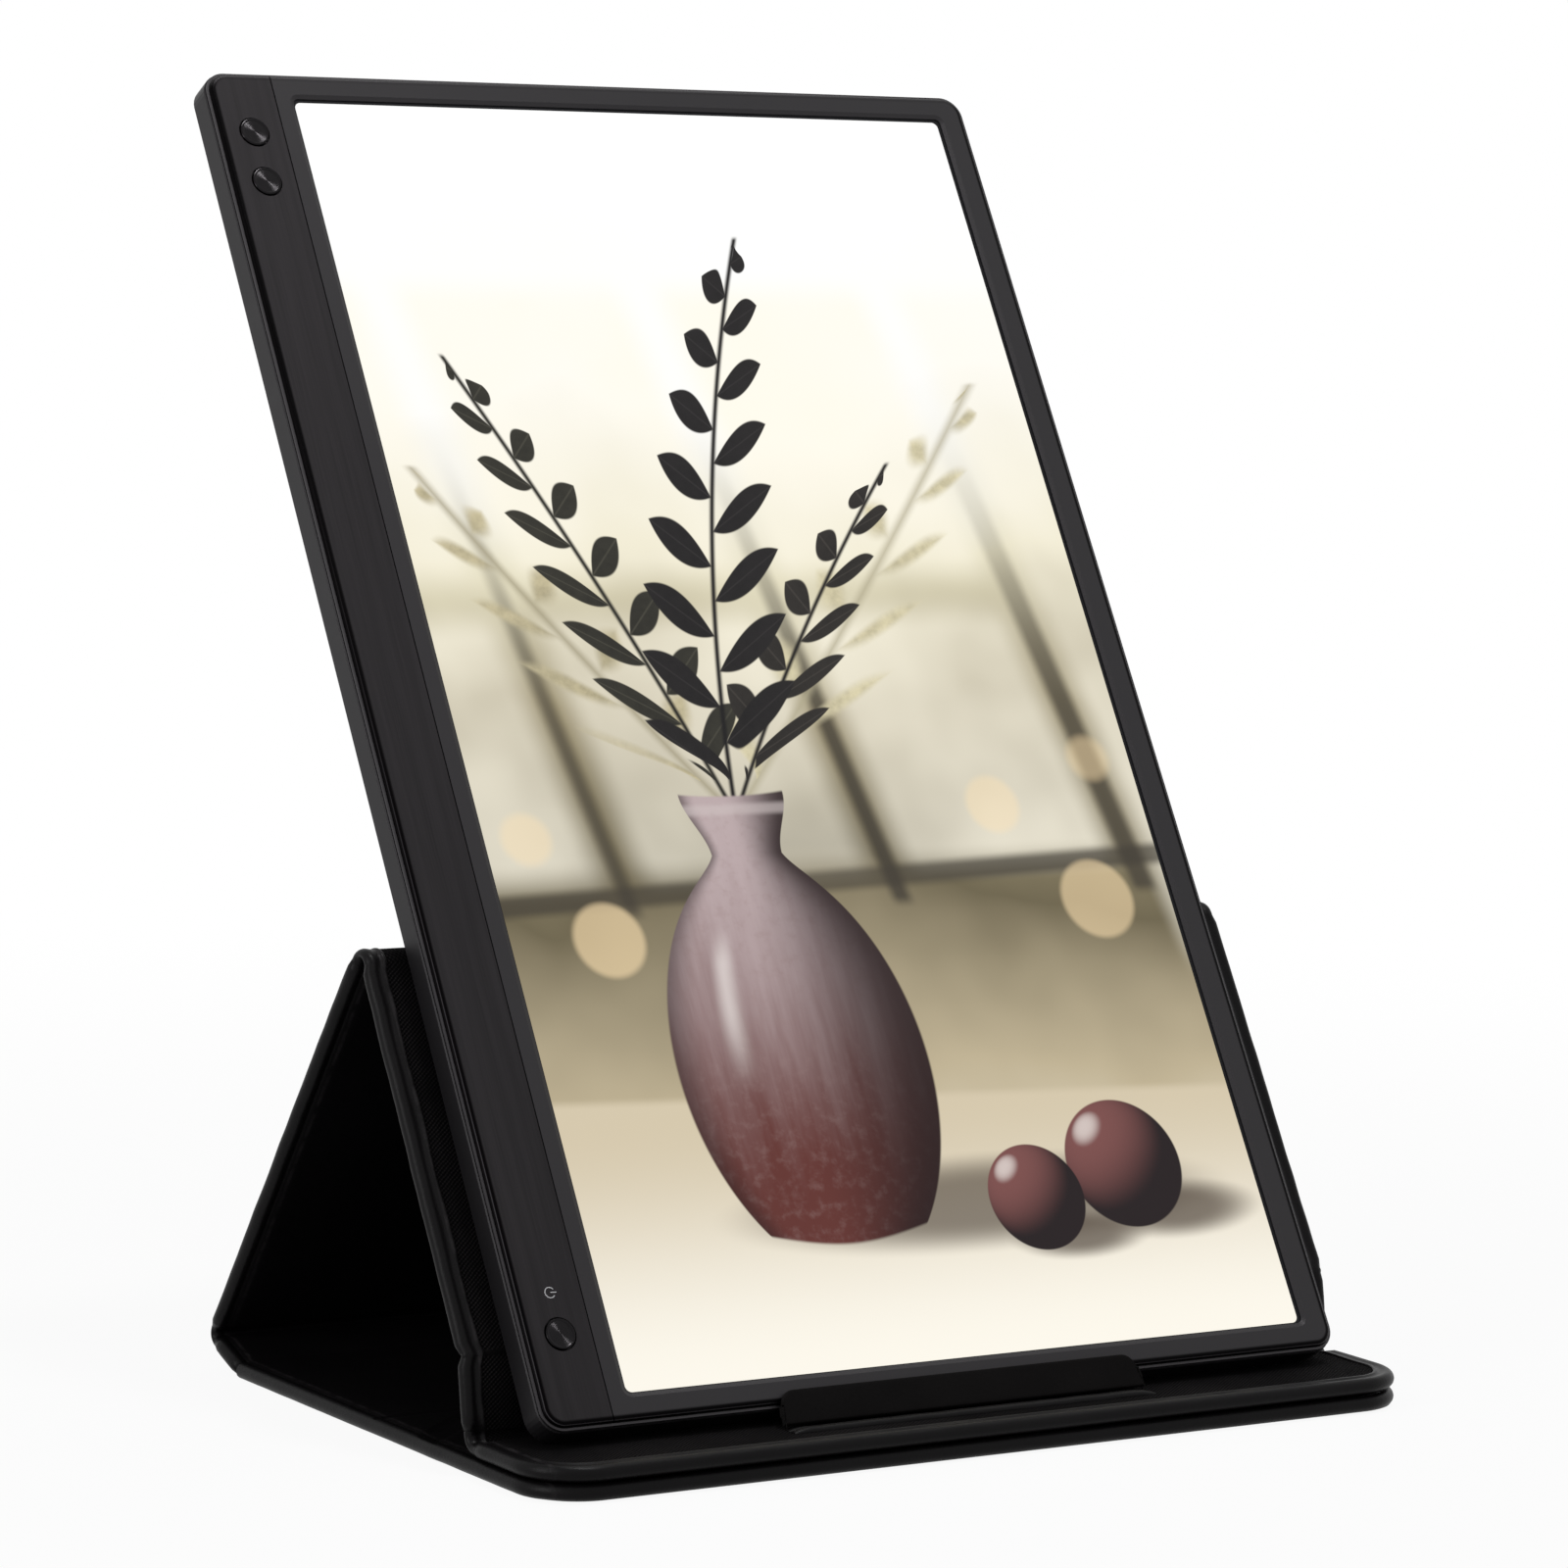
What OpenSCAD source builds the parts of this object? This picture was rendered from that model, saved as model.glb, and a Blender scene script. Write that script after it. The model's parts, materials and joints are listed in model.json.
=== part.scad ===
// Portable monitor standing upright in its folding cover. Millimetres, +Z up, +Y to the rear.
// The cover is one strip of panels: floor, spine, rear panel, front panel, lower strip and tray.

/* [Screen] */
// Width of the screen opening, the screen's short side
view_w = 194.6; // [180:0.2:210]
// Height of the screen opening, the screen's long side
view_h = 345.2; // [320:0.2:370]
// Bezel beside the screen on the plain long side
side_bezel = 8.5; // [6.6:0.1:14]
// Bezel at each short end of the screen
end_bezel = 7.4; // [6.8:0.05:14]
// Bezel between the screen and the control strip
inner_strip = 5; // [4:0.5:10]
// Width of the brushed control strip on the other long side
chin_w = 18.5; // [17:0.5:26]
// Width of the sloped band round the screen opening
view_slope_w = 1.1; // [0.4:0.1:2]
// Radius of the screen opening's corners
view_r = 1.5; // [0.5:0.1:2.5]

/* [Monitor body] */
// Thickness of the monitor body, front face to back face
body_t = 9.5; // [9.2:0.1:12]
// Radius of the body's corners, seen from the front
body_r = 6; // [4:0.5:9]
// Wall of the rear shell
shell_wall = 1.4; // [1.2:0.1:1.6]
// Bevel round the back edge of the rear shell
back_bevel = 0.9; // [0.6:0.1:3]
// Thickness of the front bezel
bezel_t = 1.5; // [1.4:0.1:1.8]
// Width of the fine rim outside the rounded front edge
rim_w = 0.6; // [0.4:0.1:1]
// How far the rim stands in from the rear shell
rim_in = 0.3; // [0.1:0.1:0.6]
// Open seam between the bezel and the rear shell
seam_gap = 0.4; // [0.2:0.1:0.5]
// Fine bevel on the front edge of the rear shell
shell_edge = 0.3; // [0.1:0.1:0.5]
// Depth of the bezel's skirt inside the rear shell
skirt_h = 1.6; // [1:0.1:2]
// Thickness of the brushed control strip
chin_t = 1; // [0.8:0.1:1.1]
// Seam between the control strip and the bezel
chin_gap = 0.3; // [0.2:0.1:0.6]

/* [Display stack] */
// Bezel left over the edge of the display glass
bezel_lip = 0.8; // [0.6:0.1:0.9]
// Thickness of the liquid crystal cell
cell_t = 1.2; // [1:0.1:1.3]
// Thickness of the diffuser and prism films
film_t = 0.5; // [0.3:0.1:0.6]
// Thickness of the light guide
guide_t = 1.4; // [1.2:0.1:1.6]
// Thickness of the reflector sheet
reflector_t = 0.2; // [0.1:0.05:0.3]
// Thickness of the metal plate behind the display
plate_t = 0.4; // [0.3:0.1:0.5]
// How far the cell reaches under the bezel
cell_margin = 3; // [2.5:0.1:3.2]
// How far the light guide and films reach under the bezel
sheet_margin = 1.5; // [1:0.1:2]
// Width of the lamp bar beside the light guide
lamp_w = 1.5; // [1:0.1:2]

/* [Electronics] */
// Width of the main board
board_w = 80; // [60:1:110]
// Length of the main board
board_l = 52; // [40:1:80]
// Thickness of the circuit boards
board_t = 0.8; // [0.6:0.1:1]
// Distance of the socket's centre from the control strip's side of the body
port_from_side = 62; // [55:1:90]
// Width of the socket's mouth
port_w = 8.9; // [8.9:0.1:9.2]
// Height of the socket's mouth
port_h = 3.1; // [3:0.1:3.2]
// Depth of the socket
port_d = 7.3; // [6.5:0.1:9]
// Radius of the small screws
screw_r = 0.8; // [0.6:0.1:1]

/* [Buttons] */
// Radius of the round button caps
cap_r = 3.8; // [3.5:0.1:4.6]
// How far the caps stand above the control strip
cap_proud = 0.4; // [0.2:0.1:0.6]
// Travel of each button
cap_travel = 0.4; // [0.2:0.05:0.5]
// Gap round each cap
cap_gap = 0.35; // [0.2:0.05:0.6]
// Distance of the buttons from the body's side
button_from_side = 10.1; // [9:0.1:11]
// Distance of the upper button of the pair from the body's top end
pair_from_end = 17.7; // [14:0.1:40]
// Spacing of the pair of buttons
pair_pitch = 14.1; // [13:0.1:20]
// Distance of the power button from the body's bottom end
power_from_end = 23.1; // [15:0.1:60]

/* [Stand] */
// Lean of the monitor back from upright, in degrees
lean = 31; // [27:0.5:36]
// Lean of the lower strip back from upright, in degrees
strip_lean = 9; // [5:0.5:14]
// Rise of the spine from the floor, in degrees
spine_rise = 20.7; // [15:0.5:28]
// Depth of the tray panel, front edge to fold
tray_len = 35; // [31:0.5:45]
// Height of the soft strip between the tray and the front panel
strip_len = 17; // [14:0.5:22]
// Length of the front panel that the monitor leans on
front_len = 97.5; // [88:0.5:102]
// Length of the rear panel, the stand's leg
rear_len = 123; // [118:0.5:140]
// Length of the spine between the floor and the rear panel
spine_len = 13; // [10:0.5:18]

/* [Cover] */
// How far the cover stands out beyond the monitor on each side
cover_margin = 11; // [8:0.5:16]
// Thickness of a cover panel
panel_t = 4; // [3.6:0.1:4.4]
// Thickness of the leather on a panel's outer face
leather_t = 0.8; // [0.6:0.1:1]
// Thickness of the twill lining
lining_t = 0.8; // [0.5:0.1:1]
// How far the lining lies below the turned leather edge
lining_sink = 0.5; // [0.3:0.1:0.7]
// Width of the turned leather edge on the lining side
turned_edge = 5; // [4:0.5:8]
// Radius of the front corners of the floor and the tray
cover_r = 16; // [12:0.5:20]
// Space between the tray and the floor panel
layer_gap = 0.4; // [0.3:0.1:1]
// Outer radius of the fold at the top of the stand
apex_r = 5.4; // [4.8:0.1:7]
// Outer radius of the two folds of the spine
spine_r = 4.4; // [4.4:0.1:6]
// Outer radius of the fold behind the tray
tray_r = 6; // [5:0.1:8]
// Thickness of the soft folds, leather and lining with no board
fold_t = 2.4; // [1.8:0.1:3]
// Distance of the floor panel's cross seam from its front edge
seam_from_front = 84; // [70:1:100]
// Width of the creases in the floor panel
crease_w = 8; // [5:0.5:10]
// Depth of the creases in the floor panel
crease_depth = 0.4; // [0.2:0.1:0.5]

/* [Stop lip] */
// Width of the stop lip at its foot
lip_w = 104; // [80:1:140]
// Width lost on each side of the lip towards its top
lip_taper = 3; // [0:0.5:6]
// Height of the lip's top edge above the monitor's lower edge
lip_cover = 3.6; // [2.5:0.1:5]
// Thickness of the lip
lip_t = 1.4; // [1.2:0.1:1.8]
// Radius of the lip's top corners
lip_r = 4.5; // [3:0.1:5]
// Radius of the leather welt sewn in front of the lip
welt_r = 1.3; // [1:0.1:1.6]

/* [Magnets] */
// Length of each magnet bar
magnet_l = 40; // [25:1:60]
// Width of each magnet bar
magnet_w = 8; // [5:0.5:9]
// Thickness of each magnet bar
magnet_t = 1.2; // [1:0.1:1.3]
// Distance of the magnet bars from the cover's middle
magnet_out = 75; // [60:1:80]

/* [Hidden] */
$fn = 48;
hull_fn = 32;        // facets of a hull's round parts
slice = 0.01;        // thickness of a hull's end slices
rim_step = 22.5;     // angle between the steps of the rounded front edge
over = 1;            // how far a cut runs past a face

leather_col = [0.12, 0.12, 0.125];
twill_col = [0.07, 0.07, 0.075];
suede_col = [0.09, 0.09, 0.09];
card_col = [0.45, 0.4, 0.34];
steel_col = [0.7, 0.71, 0.73];
bezel_col = [0.2, 0.2, 0.21];
board_col = [0.1, 0.33, 0.2];

// Monitor, in its own frame: x across, y up from its lower edge, z out of the screen
body_w = chin_w + inner_strip + view_w + side_bezel;
body_h = view_h + 2 * end_bezel;
body_left = -body_w / 2;
chin_edge = body_left + chin_w;
view_left = chin_edge + inner_strip;
view_slope_h = 0.6 * bezel_lip;
rim_drop = chin_t + 0.05;    // rim below the front face
cell_back = -bezel_lip - cell_t;
guide_front = cell_back - film_t;
guide_back = guide_front - guide_t;
plate_front = guide_back - reflector_t;
plate_back = plate_front - plate_t;
shell_front = -bezel_t - seam_gap;
shell_floor = -body_t + shell_wall;
shell_wall_in = shell_wall;
shell_inner_bevel = max(back_bevel - 0.4 * shell_wall, 0.6);
frame_margin = cell_margin + 0.4;
stack_clear = 0.2;
rebate_clear = 0.3;
skirt_clear = 0.15;
skirt_wall = 0.9;
lamp_margin = sheet_margin + stack_clear + lamp_w + stack_clear;
frame_left = lamp_margin + 1;

// Buttons and boards
button_x = body_left + button_from_side;
button_ys = [power_from_end, body_h - pair_from_end, body_h - pair_from_end - pair_pitch];
cap_foot = -bezel_t;
flange_r = cap_r + cap_gap + 0.5;
flange_t = 0.4;
flange_top = -chin_t - 0.05;
flange_clear = 0.25;
switch_top = cap_foot - cap_travel - 0.1;
switch_w = 4.5;
switch_h = 1.1;
key_board_top = switch_top - switch_h;
key_board_w = 9;
board_stand = 0.6;
board_back = shell_floor + board_stand;
board_front = board_back + board_t;
port_x = body_left + port_from_side;
port_wall = 0.35;
port_lift = 0.3;      // socket above the shell's inside face
port_inset = max(0, back_bevel - shell_wall - port_lift) + 0.1;
port_z = shell_floor + port_lift + port_h / 2;
port_clear = 0.2;
port_tab = [1.8, 2.5, 0.3];
board_x0 = port_x - board_w * 0.38;
board_y1 = body_h - shell_wall_in - shell_inner_bevel - 0.3;
board_y0 = board_y1 - board_l;
board_screw_in = 4;
screw_head_t = 0.7;
shield_size = [34, 24, 1.6];
shield_wall = 0.25;
shield_in = [12, 10];
driver_w = 9;
driver_x0 = view_left - frame_left - 1.5 - driver_w;
driver_back = plate_back - 1;
driver_l = view_h * 0.7;
flex_w = 40;
flex_t = 0.2;
flex_count = 4;
ribbon_w = 18;
ribbon_leg_w = driver_w - 1;
ribbon_t = 0.2;
ribbon_up = 8;        // ribbon above the main board's lower edge
keeper_t = 0.5;

// Cover, in the side profile: y to the rear from the floor's front edge, z up
cover_w = body_w + 2 * cover_margin;
edge_r = panel_t / 2;
pocket_in = edge_r + 0.2;
pocket_end = 2;
fold_gap = 0.3;
rest_gap = 0.17;
back_gap = 0.35;
lip_gap = 0.35;
pocket_z = lining_sink + lining_t;
board_h = panel_t - leather_t - pocket_z;
floor_board_h = panel_t - leather_t - lining_t;
board_split = 2;      // gap between the two floor boards at the cross seam
seam_w = 0.8;
crease_angle = 40;

tray_z = panel_t + layer_gap;
tray_top = tray_z + panel_t;
tray_pivot = [tray_len, tray_z + tray_r];
strip_dir = [sin(strip_lean), cos(strip_lean)];
strip_out = [cos(strip_lean), -sin(strip_lean)];
strip_foot = tray_pivot + tray_r * strip_out;
strip_pivot = strip_foot + strip_len * strip_dir;
front_dir = [sin(lean), cos(lean)];
front_out = [cos(lean), -sin(lean)];
front_end = strip_pivot + front_len * front_dir;
apex_pivot = front_end + (apex_r - panel_t) * front_out;
spine_top_z = spine_r + spine_len * sin(spine_rise);
fold_step = apex_r - spine_r;
leg_span = sqrt(rear_len * rear_len + fold_step * fold_step);
rear_rise = atan2(fold_step, rear_len) + asin((apex_pivot[1] - spine_top_z) / leg_span);
rear_pivot = [apex_pivot[0] + rear_len * cos(rear_rise) + fold_step * sin(rear_rise), spine_top_z];
floor_len = rear_pivot[0] - spine_len * cos(spine_rise);
floor_pivot = [floor_len, spine_r];

// Monitor's lower front edge, which is set by the tray below and the front panel behind
low_corner = max(-(-body_t + back_bevel) * sin(lean),
                 body_t * sin(lean) - back_bevel * cos(lean));
body_z = tray_top - lining_sink + rest_gap + low_corner;
body_stack = panel_t + back_gap + body_t;
body_y = strip_pivot[0] - (body_stack - (body_z - strip_pivot[1]) * sin(lean)) / cos(lean);
panel_on_body = (strip_pivot[0] - body_y) * sin(lean) + (strip_pivot[1] - body_z) * cos(lean);
magnet_rows = [front_len * 0.22, front_len * 0.78];

// The whole depth, so that the origin stands under the middle of the object
rear_reach = body_y + max((body_h - back_bevel) * sin(lean) + body_t * cos(lean),
                          body_h * sin(lean) + (body_t - back_bevel) * cos(lean));
depth = max(rear_reach, rear_pivot[0] + spine_r);

// Lip, hinged on the tray just in front of the monitor
lip_out = lip_gap + lip_t / 2;
lip_pivot_z = tray_top - lining_sink + lip_t / 2 + fold_gap;
lip_foot = (lip_pivot_z - body_z - lip_out * sin(lean)) / cos(lean);
lip_pivot = [body_y + lip_foot * sin(lean) - lip_out * cos(lean), lip_pivot_z];
lip_h = lip_cover - lip_foot;
welt_y = lip_pivot[0] - lip_t - 2 * welt_r;

// ---- Placing ----

// Puts the side profile's zero at the origin under the object's middle
module stand() {
  translate([0, -depth / 2, 0]) children();
}

// Monitor's frame, leaning back on the front panel
module on_monitor() {
  stand() translate([0, body_y, body_z]) rotate([90 - lean, 0, 0]) children();
}

// A panel's frame: x across, y along it from a point of its leather or lining face
module at_profile(point, angle) {
  stand() translate([0, point[0], point[1]]) rotate([angle, 0, 0]) children();
}

module on_floor() {
  stand() children();
}

// Spine's lining face is below, its frame starts at the floor fold
module on_spine() {
  at_profile(floor_pivot, spine_rise) translate([0, 0, -spine_r]) children();
}

// Rear panel's frame starts at the apex and runs down, with the lining face outside
module on_rear() {
  at_profile(apex_pivot, -rear_rise) mirror([0, 0, 1]) translate([0, 0, -apex_r]) children();
}

// Front panel's frame starts at its lower end, with the lining towards the monitor
module on_front() {
  at_profile(strip_pivot, 90 - lean) mirror([0, 0, 1]) translate([0, 0, -panel_t]) children();
}

module on_strip() {
  at_profile(strip_foot, 90 - strip_lean) mirror([0, 0, 1]) translate([0, 0, -panel_t])
    children();
}

module on_tray() {
  stand() translate([0, 0, tray_top]) mirror([0, 0, 1]) children();
}

module on_lip() {
  at_profile(lip_pivot, 90 - lean) children();
}

// ---- Shared shapes ----

// Block on the screen opening, grown by a margin on its four sides
module view_block(margin, z0, z1, left = undef) {
  left_margin = left == undef ? margin : left;
  translate([view_left - left_margin, end_bezel - margin, z0])
    cube([view_w + margin + left_margin, view_h + 2 * margin, z1 - z0]);
}

// Rectangle with round corners about the origin
module round_plan(w, h, r) {
  square([w, h - 2 * r], center = true);
  square([w - 2 * r, h], center = true);
  for (sx = [-1, 1], sy = [-1, 1]) translate([sx * (w / 2 - r), sy * (h / 2 - r)]) circle(r);
}

// Plan outline of the monitor body, drawn in by an inset
module body_outline(inset) {
  translate([0, body_h / 2])
    round_plan(body_w - 2 * inset, body_h - 2 * inset, max(body_r - inset, 1));
}

// Screen opening with round corners, grown by a margin on its four sides
module view_hole(margin, z0, z1) {
  translate([view_left + view_w / 2, body_h / 2, z0]) linear_extrude(z1 - z0)
    round_plan(view_w + 2 * margin, view_h + 2 * margin, view_r + margin);
}

module body_slab(inset, z0, z1) {
  translate([0, 0, z0]) linear_extrude(z1 - z0) body_outline(inset);
}

// Body block whose back edge is bevelled, and its front edge where a bevel is given
module bevelled_body(inset, bevel, z_back, z_front, front_bevel = 0) {
  hull($fn = hull_fn) {
    body_slab(inset, z_back + bevel, z_front - front_bevel);
    body_slab(inset + bevel, z_back, z_back + slice);
    body_slab(inset + front_bevel, z_front - slice, z_front);
  }
}

// Front plate of the monitor, its edge rounded down to a fine rim, before any opening
module front_plate() {
  body_slab(rim_in, -bezel_t, -rim_drop);
  hull($fn = hull_fn) {
    body_slab(rim_in + rim_w, -bezel_t, -rim_drop);
    for (a = [rim_step : rim_step : 90])
      body_slab(rim_in + rim_w + rim_drop * (1 - cos(a)), -rim_drop * (1 - sin(a)) - slice,
                -rim_drop * (1 - sin(a)));
  }
}

// Plate with half-round long edges and square ends, lining face at z = 0
module strip_block(len) {
  translate([edge_r - cover_w / 2, 0, 0]) cube([cover_w - panel_t, len, panel_t]);
  for (s = [-1, 1]) translate([s * (cover_w / 2 - edge_r), 0, edge_r])
    rotate([-90, 0, 0]) cylinder(r = edge_r, h = len);
}

// Plate with half-round edges and round front corners, square at its far end
module front_block(len) {
  hull($fn = hull_fn) {
    for (s = [-1, 1]) {
      translate([s * (cover_w / 2 - edge_r), len - slice, edge_r])
        rotate([-90, 0, 0]) cylinder(r = edge_r, h = slice);
      translate([s * (cover_w / 2 - cover_r), cover_r, edge_r])
        rotate_extrude() translate([cover_r - edge_r, 0]) circle(edge_r, $fn = 16);
    }
  }
}

// Plan of a front panel, drawn in by an inset on its sides and front
module front_plan(inset, len) {
  w = cover_w - 2 * inset;
  r = max(cover_r - inset, 1);
  translate([-w / 2, inset + r]) square([w, len - inset - r]);
  translate([r - w / 2, inset]) square([w - 2 * r, r + slice]);
  for (s = [-1, 1]) translate([s * (w / 2 - r), inset + r]) circle(r);
}

// Bent sheet round a fold, concentric with the fold's axis; angles run from rear to up
module bent_sheet(pivot, r, a0, a1) {
  half = cover_w / 2 - fold_t / 2;
  stand() translate([0, pivot[0], pivot[1]]) rotate([90, 0, 90]) rotate([0, 0, a0])
    rotate_extrude(angle = a1 - a0) translate([r - fold_t / 2, 0]) {
      square([fold_t, 2 * half], center = true);
      for (s = [-1, 1]) translate([0, s * half]) circle(fold_t / 2, $fn = 24);
    }
}

// Pocket for a panel's board, under the turned edge
module board_pocket(y0, y1) {
  translate([pocket_in - cover_w / 2, y0, pocket_z])
    cube([cover_w - 2 * pocket_in, y1 - y0, board_h]);
}

// Channel for the lining between the two turned edges
module lining_channel(len, z0, z1) {
  translate([turned_edge - cover_w / 2, -over, z0])
    cube([cover_w - 2 * turned_edge, len + 2 * over, z1 - z0]);
}

// Leather of a panel between two folds: outer face, round edges and turned edges
module fold_panel_leather(len, start_gap, end_gap) {
  difference() {
    translate([0, start_gap, 0]) strip_block(len - start_gap - end_gap);
    board_pocket(pocket_end, len - pocket_end);
    lining_channel(len, -over, pocket_z);
  }
}

// Lining of a panel between two folds
module fold_panel_lining(len, start_gap, end_gap) {
  intersection() {
    lining_channel(len, lining_sink, pocket_z);
    translate([-cover_w, start_gap, 0])
      cube([2 * cover_w, len - start_gap - end_gap, panel_t]);
  }
}

// Two magnet bars set into a board at one height of the panel
module magnet_pair(y) {
  for (s = [-1, 1])
    translate([s * magnet_out - magnet_l / 2, y - magnet_w / 2, pocket_z + board_h - magnet_t])
      cube([magnet_l, magnet_w, magnet_t]);
}

// ---- Monitor ----

module front_bezel() {
  skirt_in = shell_wall_in + skirt_clear;
  color(bezel_col) on_monitor() difference() {
    union() {
      front_plate();
      difference() {
        body_slab(skirt_in, -bezel_t - skirt_h, -bezel_t);
        body_slab(skirt_in + skirt_wall, -bezel_t - skirt_h - over, -bezel_t);
      }
    }
    hull($fn = hull_fn) {
      view_hole(0, -view_slope_h, -view_slope_h + slice);
      view_hole(view_slope_w, 0, slice);
    }
    view_hole(0, -bezel_t - over, over);
    view_block(cell_margin + rebate_clear, -bezel_t - over, -bezel_lip);
    translate([body_left - over, -over, -chin_t])
      cube([chin_w + over, body_h + 2 * over, chin_t + over]);
    for (y = button_ys) translate([button_x, y, -bezel_t - over])
      cylinder(r = flange_r + flange_clear, h = bezel_t + over);
  }
}

// Brushed strip beside the screen, with a hole for each button
module control_strip() {
  color([0.17, 0.17, 0.18]) on_monitor() difference() {
    intersection() {
      front_plate();
      translate([body_left - over, -over, -chin_t])
        cube([chin_w + over - chin_gap, body_h + 2 * over, chin_t + over]);
    }
    for (y = button_ys) translate([button_x, y, -bezel_t])
      cylinder(r = cap_r + cap_gap, h = 2 * bezel_t);
  }
}

// Slot with round ends through the top wall for the socket
module port_slot(w, h, d) {
  translate([port_x, body_h, port_z]) rotate([90, 0, 0]) {
    for (s = [-1, 1]) translate([s * (w - h) / 2, 0, -over]) cylinder(r = h / 2, h = d + over);
    translate([-(w - h) / 2, -h / 2, -over]) cube([w - h, h, d + over]);
  }
}

module screw_places() {
  for (x = [board_x0 + board_screw_in, board_x0 + board_w - board_screw_in],
       y = [board_y0 + board_screw_in, board_y1 - board_screw_in])
    translate([x, y, 0]) children();
}

module rear_shell() {
  color([0.16, 0.16, 0.17]) on_monitor() {
    difference() {
      bevelled_body(0, back_bevel, -body_t, shell_front, shell_edge);
      bevelled_body(shell_wall_in, shell_inner_bevel, shell_floor, over);
      port_slot(port_w + 2 * port_clear, port_h + 2 * port_clear,
                port_inset + port_d + port_clear);
    }
    screw_places() translate([0, 0, shell_floor]) difference() {
      cylinder(r = 2.2 * screw_r, h = board_stand);
      translate([0, 0, -over]) cylinder(r = screw_r, h = board_stand + 2 * over);
    }
  }
}

module lcd_cell() {
  color([0.75, 0.78, 0.8]) on_monitor() view_block(cell_margin, cell_back, -bezel_lip);
}

module optical_films() {
  color([0.92, 0.93, 0.95]) on_monitor() view_block(sheet_margin, guide_front, cell_back);
}

// Clear light guide, with its lamp edge left straight
module light_guide() {
  color([0.85, 0.92, 0.95]) on_monitor() view_block(sheet_margin, guide_back, guide_front);
}

module reflector_sheet() {
  color([0.96, 0.96, 0.96]) on_monitor() view_block(sheet_margin, plate_front, guide_back);
}

// Bar of white lamps along the light guide's control strip side
module lamp_bar() {
  color([0.95, 0.9, 0.6]) on_monitor()
    translate([view_left - sheet_margin - stack_clear - lamp_w, end_bezel + 2, guide_back])
      cube([lamp_w, view_h - 4, guide_t]);
}

// Moulded frame that holds the cell's edge and the sheets behind it
module display_frame() {
  color([0.9, 0.9, 0.88]) on_monitor() difference() {
    view_block(frame_margin, plate_front, cell_back, frame_left);
    view_block(sheet_margin + stack_clear, plate_front - over, cell_back + over, lamp_margin);
  }
}

module display_plate() {
  color(steel_col) on_monitor()
    view_block(frame_margin, plate_back, plate_front, frame_left);
}

module display_driver_board() {
  color(board_col) on_monitor()
    translate([driver_x0, (body_h - driver_l) / 2, driver_back - board_t])
      cube([driver_w, driver_l, board_t]);
}

// Flexes from the cell, over the display frame's edge and down to the driver board
module display_flexes() {
  top = cell_back + flex_t;
  edge = view_left - frame_left - stack_clear;
  pitch = driver_l / flex_count;
  color([0.75, 0.5, 0.2]) on_monitor() for (i = [0 : flex_count - 1])
    translate([0, (body_h - driver_l) / 2 + pitch * (i + 0.5) + flex_w / 2, 0])
      rotate([90, 0, 0]) linear_extrude(flex_w) polygon([
        [view_left - cell_margin, top - flex_t], [view_left - cell_margin, top],
        [edge - flex_t, top], [edge - flex_t, driver_back + flex_t],
        [driver_x0 + driver_w / 2, driver_back + flex_t], [driver_x0 + driver_w / 2, driver_back],
        [edge, driver_back], [edge, top - flex_t]]);
}

module main_board() {
  color(board_col) on_monitor() difference() {
    translate([board_x0, board_y0, board_back]) cube([board_w, board_l, board_t]);
    screw_places() translate([0, 0, board_back - over]) cylinder(r = screw_r, h = 3 * over);
    translate([port_x - port_w / 2 - port_clear, body_h - port_inset - port_d - port_clear,
               board_back - over])
      cube([port_w + 2 * port_clear, port_d + 2 * over, board_t + 2 * over]);
  }
}

// Pressed can over the main chips, open towards the board
module board_shield() {
  color(steel_col) on_monitor()
    translate([board_x0 + board_w - shield_size[0] - shield_in[0], board_y0 + shield_in[1],
               board_front]) difference() {
      cube(shield_size);
      translate([shield_wall, shield_wall, -over])
        cube([shield_size[0] - 2 * shield_wall, shield_size[1] - 2 * shield_wall,
              shield_size[2] + over - shield_wall]);
    }
}

module board_screws() {
  color(steel_col) on_monitor() screw_places() {
    translate([0, 0, shell_floor]) cylinder(r = screw_r, h = board_stand + board_t);
    translate([0, 0, board_front]) cylinder(r = 2 * screw_r, h = screw_head_t);
  }
}

// Flat L-shaped ribbon on the driver board's back, with a plug on the main board
module display_cable() {
  ribbon_z = driver_back - board_t - ribbon_t;
  leg_y = (body_h + driver_l) / 2 - ribbon_leg_w;
  arm_y = board_y0 + ribbon_up;
  plug_x = board_x0 + 3;
  color([0.85, 0.85, 0.8]) on_monitor() {
    translate([driver_x0, 0, ribbon_z]) linear_extrude(ribbon_t) {
      translate([0, leg_y]) square([ribbon_leg_w, arm_y + ribbon_w - leg_y]);
      translate([0, arm_y]) square([plug_x + ribbon_leg_w - driver_x0, ribbon_w]);
    }
    translate([plug_x, arm_y, board_front])
      cube([ribbon_leg_w, ribbon_w, ribbon_z + ribbon_t / 2 - board_front]);
  }
}

module button_board() {
  y0 = power_from_end - 10;
  color(board_col) on_monitor()
    translate([button_x - key_board_w / 2, y0, key_board_top - board_t])
      cube([key_board_w, body_h - y0 - 8, board_t]);
}

// One small push switch under each button
module tactile_switches() {
  color([0.8, 0.8, 0.78]) on_monitor() for (y = button_ys) translate([button_x, y, key_board_top]) {
    translate([-switch_w / 2, -switch_w / 2, 0]) cube([switch_w, switch_w, 0.7 * switch_h]);
    cylinder(r = switch_w / 4, h = switch_h);
  }
}

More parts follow.
